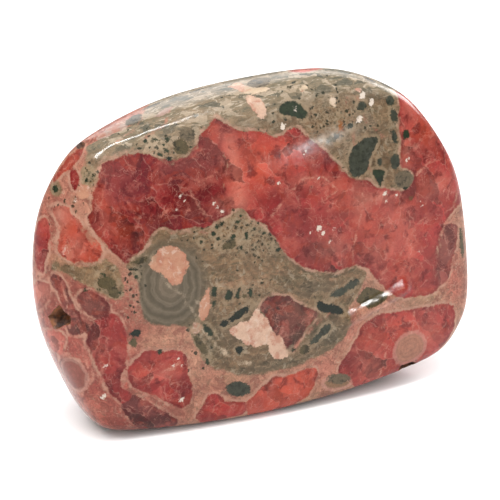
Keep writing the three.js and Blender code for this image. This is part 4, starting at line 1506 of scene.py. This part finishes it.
def new_material(name):
    material = bpy.data.materials.new(name)
    material.use_nodes = True
    wire = Wiring(material.node_tree)
    shader = material.node_tree.nodes["Principled BSDF"]
    mapping = wire.node("ShaderNodeMapping", {"Scale": (1 / MM, 1 / MM, 1 / MM)})
    wire.feed(mapping.inputs["Vector"], wire.node("ShaderNodeTexCoord").outputs["Object"])
    return material, wire, shader, mapping


# ---- The polished stone's layers, from the matrix up ----
def matrix_look(wire, place):
    """Matrix of pink, tan and mauve threads and crumbs, banded along the crystals' edges."""
    tint = mottled(wire, place, wire.attribute("matrix_tint", "Color"), 0.5, 0.36)
    # Crumbs with their own tones and painted shading across each.
    tone, crack = cleavage(wire, place, (0.3, 0.9, 0.2), (1.0, 1.0, 0.6), 0.9, 1.2, 0.8, 0.08)
    tint = toned(wire, tint, tone, 0.3)
    tint = coated(wire, place, tint, MATRIX_COATS)
    tint = over(wire, tint, veins(wire, place, 0.5, 0.014), 0.5, CREAM)
    tint = over(wire, tint, crack, 0.25, PLUM)
    drift = wire.noise(place, 0.6, detail=4.0)
    phase = wire.math("ADD", wire.attribute("crystal_depth"), wire.math("MULTIPLY", drift, 2.8))
    bands = wire.math("SINE", wire.math("MULTIPLY", phase, 9.0))
    return grainy(wire, place, wire.scaled(tint, wire.math("MULTIPLY_ADD", bands, 0.08, 1.0)), 0.28)


def olive_look(wire, place):
    """Olive matrix: flowing bands on the front, and long streaks on the crown, which is washed paler, partly
    its greyer matrix and partly a painted sheen.
    """
    tint = mottled(wire, place, wire.attribute("olive_tint", "Color"), 0.4, 0.34)
    stretched = wire.vector("MULTIPLY", place, (0.26, 0.6, 0.7))
    flow = wire.noise(stretched, 1.0, detail=6.0, roughness=0.6, distortion=1.6)
    tint = over(wire, tint, wire.ramp(flow, 0.52, 0.64), 0.6, OLIVE_SHADE)
    stretched = wire.vector("MULTIPLY", place, (0.34, 0.7, 0.8))
    pale_flow = wire.noise(stretched, 1.4, detail=7.0, distortion=1.4)
    tint = over(wire, tint, wire.ramp(pale_flow, 0.54, 0.68), 0.5, OLIVE_LIGHT)
    tint = coated(wire, place, tint, CRUMB_COATS)
    # Crumbs with their own tones and painted shading across each.
    crumb, crumb_edge = cleavage(wire, place, (0.5, 0.2, 0.4), (0.8, 1.0, 1.2), 0.5, 1.5, 0.7, 0.07)
    tint = toned(wire, tint, crumb, 0.36)
    tint = over(wire, tint, crumb_edge, 0.32, CRUMB_EDGE)
    tint = over(wire, tint, veins(wire, place, 0.45, 0.01), 0.45, OLIVE_VEIN)
    tint = coated(wire, place, tint, OLIVE_COATS)
    drift = wire.noise(place, 0.3, detail=4.0)
    phase = wire.math("ADD", wire.attribute("olive_depth"), wire.math("MULTIPLY", drift, 3.0))
    bands = wire.math("SINE", wire.math("MULTIPLY", phase, 4.6))
    tint = wire.scaled(tint, wire.math("MULTIPLY_ADD", bands, 0.13, 0.95))
    crown = wire.ramp(wire.attribute("crown"), 0.45, 0.76)
    stretched = wire.vector("MULTIPLY", place, (0.26, 0.8, 0.8))
    long = wire.noise(stretched, 1.0, detail=7.0, roughness=0.68, distortion=1.8)
    dark_streaks = wire.math("MULTIPLY", wire.ramp(long, 0.53, 0.6), crown)
    light_streaks = wire.math("MULTIPLY", wire.fall(long, 0.39, 0.46), crown)
    shards = cleavage(wire, place, (0.0, 0.0, 0.25), (0.45, 1.3, 1.0), 0.5, 1.4, 0.6, 0.06)[0]
    dark_shards = wire.math("MULTIPLY", wire.ramp(shards, 0.74, 0.8), crown)
    light_shards = wire.math("MULTIPLY", wire.fall(shards, 0.16, 0.22), crown)
    # Where the skin faces up, a paler grey wash: partly the crown's greyer matrix, partly a painted sheen.
    tint = over(wire, tint, crown, 0.55, CROWN_GREY_AND_SHEEN)
    tint = over(wire, tint, dark_streaks, 0.6, DARK_STREAK)
    tint = over(wire, tint, light_streaks, 0.7, LIGHT_STREAK)
    tint = over(wire, tint, dark_shards, 0.6, DARK_SHARD)
    tint = over(wire, tint, light_shards, 0.55, LIGHT_SHARD)
    return grainy(wire, place, tint, 0.3)


def eye_look(wire, place, tint):
    """Grey and olive bands round the agate eye, over the olive matrix."""
    drift = wire.math("SUBTRACT", wire.noise(place, 0.35, detail=3.0), 0.5)
    distance = wire.math("ADD", wire.attribute("eye_distance"), wire.math("MULTIPLY", drift, 1.8))
    bands = wire.ramp(wire.math("SINE", wire.math("MULTIPLY", distance, 4.4)), -0.8, 0.9)
    fine = wire.ramp(wire.math("SINE", wire.math("MULTIPLY", distance, 12.0)), -0.9, 0.9)
    ringed = over(wire, colour(EYE_GROUND), bands, 0.6, EYE_BAND)
    ringed = over(wire, ringed, fine, 0.22, EYE_LINE)
    cores = wire.ramp(distance, 1.6, 3.4, bottom=0.45, top=0.0)
    ringed = wire.mix(cores, ringed, colour(EYE_CORE))
    inside = wire.ramp(distance, 5.4, 8.6, bottom=0.92, top=0.0)
    return wire.mix(inside, tint, grainy(wire, place, mottled(wire, place, ringed, 0.6, 0.2), 0.12))


def crystal_look(wire, place):
    """Red crystal: leaning cleavage blocks with painted shading across each, milky clouds, and pale healed
    cracks.
    """
    tint = mottled(wire, place, wire.attribute("crystal_tint", "Color"), 0.35, 0.34)
    large, large_crack = cleavage(wire, place, (0.2, 0.7, 0.3), (1.0, 0.8, 0.5), 0.2, 1.6, 1.1, 0.03)
    small, small_crack = cleavage(wire, place, (0.4, -0.8, 0.1), (1.0, 0.9, 0.45), 0.55, 0.9, 1.0, 0.05)
    lift = wire.math("MULTIPLY_ADD", wire.math("SUBTRACT", large, 0.5), 0.48, 1.0)
    lift = wire.math("ADD", lift, wire.math("MULTIPLY", wire.math("SUBTRACT", small, 0.5), 0.24))
    tint = wire.scaled(tint, wire.math("MAXIMUM", lift, 0.3))
    tint = coated(wire, place, tint, CRYSTAL_COATS)
    for vein, share, veins_per_mm, width in CRYSTAL_VEINS:
        tint = over(wire, tint, veins(wire, place, veins_per_mm, width), share, vein)
    tint = over(wire, tint, large_crack, 0.32, LARGE_CRACK)
    tint = over(wire, tint, small_crack, 0.1, SMALL_CRACK)
    return grainy(wire, place, tint, 0.2)


def specks_over(wire, place, tint):
    """Little dark specks where they gather."""
    bent = wire.vector("SUBTRACT", wire.noise(place, 1.6, detail=3.0, output="Color"), HALF_GREY)
    moved = wire.vector("ADD", place, wire.scaled(bent, 0.9))
    lots = wire.node("ShaderNodeSeparateColor", {"Color": wire.cells(moved, 1.25, output="Color")})
    crowd = wire.math("MULTIPLY", wire.attribute("speckle"), 0.75)
    web = wire.fall(wire.cells(moved, 1.25, feature="DISTANCE_TO_EDGE"), 0.02, 0.14)
    tint = over(wire, tint, wire.math("MULTIPLY", web, crowd), 0.6, WEB)
    present = wire.math("LESS_THAN", lots.outputs["Green"], crowd)
    reach = wire.math("MULTIPLY_ADD", lots.outputs["Blue"], 0.2, 0.26)
    dots = wire.fall(wire.math("SUBTRACT", wire.cells(moved, 1.25), reach), -0.08, 0.06)
    return over(wire, tint, wire.math("MULTIPLY", dots, present), 0.9, SPECK)


def stone_tint(wire, place):
    """Every layer in turn, the lowest first: from the matrix up to the grains and the painted glints."""
    olive = masked(wire, place, "olive", 0.6, 0.5, 0.3, 0.3)[0]
    ground = eye_look(wire, place, olive_look(wire, place))
    tint = wire.mix(olive, matrix_look(wire, place), ground)
    crystal, depth = masked(wire, place, "crystal", 0.5, 0.55, 0.28, 0.16, grown=0.3)
    worn = noise_patches(wire, place, 0.45, 0.36, 0.6, detail=4.0)
    rim = wire.math("MULTIPLY", band(wire, depth, -0.55, 0.0, 0.2), worn)
    tint = over(wire, tint, rim, 0.7, RIM)
    tint = specks_over(wire, place, tint)
    tint = wire.mix(crystal, tint, crystal_look(wire, place))
    skin = band(wire, depth, 0.1, 0.5, 0.2)
    tint = over(wire, tint, skin, 0.22, DEEP_RED)
    seams = grainy(wire, place, mottled(wire, place, wire.attribute("seam_tint", "Color"), 1.2, 0.3), 0.3)
    seam = masked(wire, place, "seam", 0.45, 0.7, 0.4, 0.26, grown=-0.08)[0]
    healed = wire.ramp(wire.noise(place, 0.6, detail=4.0), 0.4, 0.6, bottom=0.05, top=0.75)
    tint = wire.mix(wire.math("MULTIPLY", seam, healed), tint, seams)
    orb, orb_depth = masked(wire, place, "orb", 0.4, 0.7, 0.25, 0.2)
    rings = wire.ramp(wire.math("SINE", wire.math("MULTIPLY", orb_depth, 7.0)), -0.7, 0.8)
    tan_rings = mottled(wire, place, wire.attribute("orb_tint", "Color"), 0.9, 0.4)
    ringed = over(wire, tan_rings, rings, 0.24, ORB_RING)
    tint = wire.mix(wire.math("MULTIPLY", orb, 0.85), tint, grainy(wire, place, ringed, 0.25))
    shell = wire.math("MULTIPLY", band(wire, orb_depth, -0.7, 0.1, 0.2), 0.5)
    tint = wire.mix(shell, tint, mottled(wire, place, colour(ORB_SHELL), 1.4, 0.5))
    lumps = mottled(wire, place, wire.attribute("pale_tint", "Color"), 0.9, 0.26)
    lumps = coated(wire, place, lumps, LUMP_COATS)
    pale = masked(wire, place, "pale", 0.55, 0.9, 0.3, 0.14)[0]
    tint = wire.mix(pale, tint, grainy(wire, place, lumps, 0.16))
    grains = mottled(wire, place, wire.attribute("grain_tint", "Color"), 1.3, 0.6)
    grains = coated(wire, place, grains, GRAIN_COATS)
    grain, edge = masked(wire, place, "grain", 0.36, 1.1, 0.34, 0.13)
    halo = wire.math("MULTIPLY", band(wire, edge, -0.6, 0.0, 0.2), wire.math("MULTIPLY", olive, worn))
    tint = over(wire, tint, halo, 0.5, HALO)
    tint = wire.mix(grain, tint, grainy(wire, place, grains, 0.3))
    # Painted glints: pale spots that stand in for light caught by little cleavage faces.
    painted_glint = masked(wire, place, "painted_glint", 0.4, 1.8, 0.3, 0.1, grown=-0.1)[0]
    tint = wire.mix(painted_glint, tint, colour(PAINTED_GLINT))
    settings = {"Color": tint, "Saturation": STONE_SATURATION, "Value": STONE_VALUE}
    return wire.node("ShaderNodeHueSaturation", settings).outputs["Color"]


def polished_stone():
    material, wire, shader, mapping = new_material("polished rhodochrosite")
    place = mapping.outputs["Vector"]
    wire.feed(shader.inputs["Base Color"], stone_tint(wire, place))
    smears = wire.ramp(wire.noise(place, 0.5, detail=5.0), 0.35, 0.7, bottom=0.16, top=0.26)
    duller = wire.math("MULTIPLY_ADD", wire.attribute("polish"), -POLISH_GAIN, 1.0)
    wire.feed(shader.inputs["Roughness"], wire.math("MULTIPLY", smears, duller))
    ripple = wire.noise(place, 0.25, detail=2.0)
    height = wire.math("SUBTRACT", ripple, wire.math("MULTIPLY", veins(wire, place, 0.22, 0.012), 0.05))
    bump = wire.node("ShaderNodeBump", {"Strength": 0.35, "Distance": 0.2 * MM, "Height": height})
    wire.feed(shader.inputs["Normal"], bump.outputs["Normal"])
    shader.inputs["IOR"].default_value = STONE_IOR
    shader.inputs["Specular IOR Level"].default_value = STONE_SPECULAR
    return material, mapping


def broken_lining():
    material, wire, shader, mapping = new_material("broken rusty lining")
    place = mapping.outputs["Vector"]
    tint = mottled(wire, place, colour(BROWN), 0.8, 0.7)
    tint = coated(wire, place, tint, LINING_COATS)
    tint = over(wire, tint, veins(wire, place, 0.9, 0.03), 0.3, TAN_PINK)
    wire.feed(shader.inputs["Base Color"], tint)
    wire.feed(shader.inputs["Roughness"], wire.ramp(wire.noise(place, 2.0), 0.3, 0.7, bottom=0.3, top=0.65))
    bump = wire.node("ShaderNodeBump", {"Strength": 0.6, "Distance": 0.3 * MM})
    wire.feed(bump.inputs["Height"], wire.noise(place, 2.4, detail=6.0, roughness=0.7))
    wire.feed(shader.inputs["Normal"], bump.outputs["Normal"])
    return material, mapping


# ---- The piece ----
def build_stone():
    surface, surface_mapping = polished_stone()
    lining, lining_mapping = broken_lining()
    mesh = cut_stone(stone_outside(surface), lining)
    raise_ridges(mesh)
    paint(mesh)
    low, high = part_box(STONE)
    stone = in_scene("polished_stone", mesh)
    corners = [Vector(corner) for corner in stone.bound_box]
    mine_low = Vector([min(corner[axis] for corner in corners) for axis in range(3)])
    mine_high = Vector([max(corner[axis] for corner in corners) for axis in range(3)])
    shift = (Vector(low) + Vector(high) - mine_low - mine_high) / 2
    shift.z = low[2] - mine_low.z
    mesh.transform(Matrix.Translation(shift))
    for mapping in (surface_mapping, lining_mapping):
        mapping.inputs["Location"].default_value = [-part / MM for part in shift]
    mesh.shade_smooth()
    mesh.set_sharp_from_angle(angle=math.radians(SHARP_ANGLE))
    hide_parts(STONE)
    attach(stone, "root")
    return shift


# ---- The room, the lights and the camera ----
AIM = (-0.81, 0.0, -2.23)  # what the camera looks at, in the stone's own frame
VIEW_TURN = -26
VIEW_RISE = 22
VIEW_DISTANCE = 0.38
SENSOR_WIDTH = 36.0
FOCAL_LENGTH = 142.3
FLOOR_REACH = 2.0
FLOOR_CORNERS = [(-1, -1), (1, -1), (1, 1), (-1, 1)]
PAPER_WHITE = (0.9, 0.89, 0.885, 1.0)
ROOM_WHITE = (1.0, 0.995, 0.99, 1.0)
ROOM_GLOW = 0.38
BACKDROP_GLOW = 0.54  # added to the room's glow where the camera sees it
OVERHEAD_SPREAD = 110

# Softboxes: turn and rise in degrees, then distance, width and height in metres, and power.
SOFTBOXES = {
    "back softbox": (154, 30, 0.9, 0.9, 0.4, 2.6),
    "shoulder softbox": (106, 26, 0.6, 0.3, 0.25, 2.6),
    "crease light": (-75, 68, 0.5, 0.03, 0.5, 2.0),
    "ridge light": (26.7, 13, 0.62, 0.055, 0.015, 0.38),
}


def aimed(thing, place, target):
    thing.location = place
    thing.rotation_euler = (Vector(target) - Vector(place)).to_track_quat("-Z", "Y").to_euler()
    bpy.context.scene.collection.objects.link(thing)


def round_about(target, turn, rise, distance):
    """A place seen from the target: turned from the front towards the right, and raised."""
    turn, rise = math.radians(turn), math.radians(rise)
    away = Vector((math.sin(turn) * math.cos(rise), -math.cos(turn) * math.cos(rise), math.sin(rise)))
    return Vector(target) + away * distance


def add_camera(target):
    lens = bpy.data.cameras.new("camera")
    lens.sensor_width = SENSOR_WIDTH
    lens.lens = FOCAL_LENGTH
    lens.clip_start = 0.01
    camera = bpy.data.objects.new("camera", lens)
    aimed(camera, round_about(target, VIEW_TURN, VIEW_RISE, VIEW_DISTANCE), target)
    bpy.context.scene.camera = camera


def add_softbox(name, target, turn, rise, distance, width, height, power):
    light = bpy.data.lights.new(name, "AREA")
    light.shape = "RECTANGLE"
    light.size, light.size_y = width, height
    light.energy = power
    softbox = bpy.data.objects.new(name, light)
    aimed(softbox, round_about(target, turn, rise, distance), target)
    softbox.visible_camera = False


def add_overhead(target, turn, rise, strength):
    light = bpy.data.lights.new("overhead", "SUN")
    light.angle = math.radians(OVERHEAD_SPREAD)
    light.energy = strength
    aimed(bpy.data.objects.new("overhead", light), round_about(target, turn, rise, 1.0), target)


def add_floor():
    mesh = bpy.data.meshes.new("floor")
    corners = [(FLOOR_REACH * right, FLOOR_REACH * back, 0) for right, back in FLOOR_CORNERS]
    mesh.from_pydata(corners, [], [(0, 1, 2, 3)])
    material = bpy.data.materials.new("pale paper")
    material.use_nodes = True
    paper = material.node_tree.nodes["Principled BSDF"]
    paper.inputs["Base Color"].default_value = PAPER_WHITE
    paper.inputs["Roughness"].default_value = 0.9
    paper.inputs["Specular IOR Level"].default_value = 0.1
    mesh.materials.append(material)
    in_scene("floor", mesh)


def add_daylight():
    world = bpy.data.worlds.new("white room")
    world.use_nodes = True
    background = world.node_tree.nodes["Background"]
    background.inputs["Color"].default_value = ROOM_WHITE
    wire = Wiring(world.node_tree)
    seen = wire.node("ShaderNodeLightPath").outputs["Is Camera Ray"]
    wire.feed(background.inputs["Strength"], wire.math("MULTIPLY_ADD", seen, BACKDROP_GLOW, ROOM_GLOW))
    bpy.context.scene.world = world
    bpy.context.scene.view_settings.view_transform = "Standard"


stone_shift = build_stone()
middle_of_view = stone_shift + Vector(AIM) * MM
add_camera(middle_of_view)
add_floor()
add_daylight()
add_overhead(middle_of_view, -20, 72, 2.3)
for softbox_name, softbox_settings in SOFTBOXES.items():
    add_softbox(softbox_name, middle_of_view, *softbox_settings)
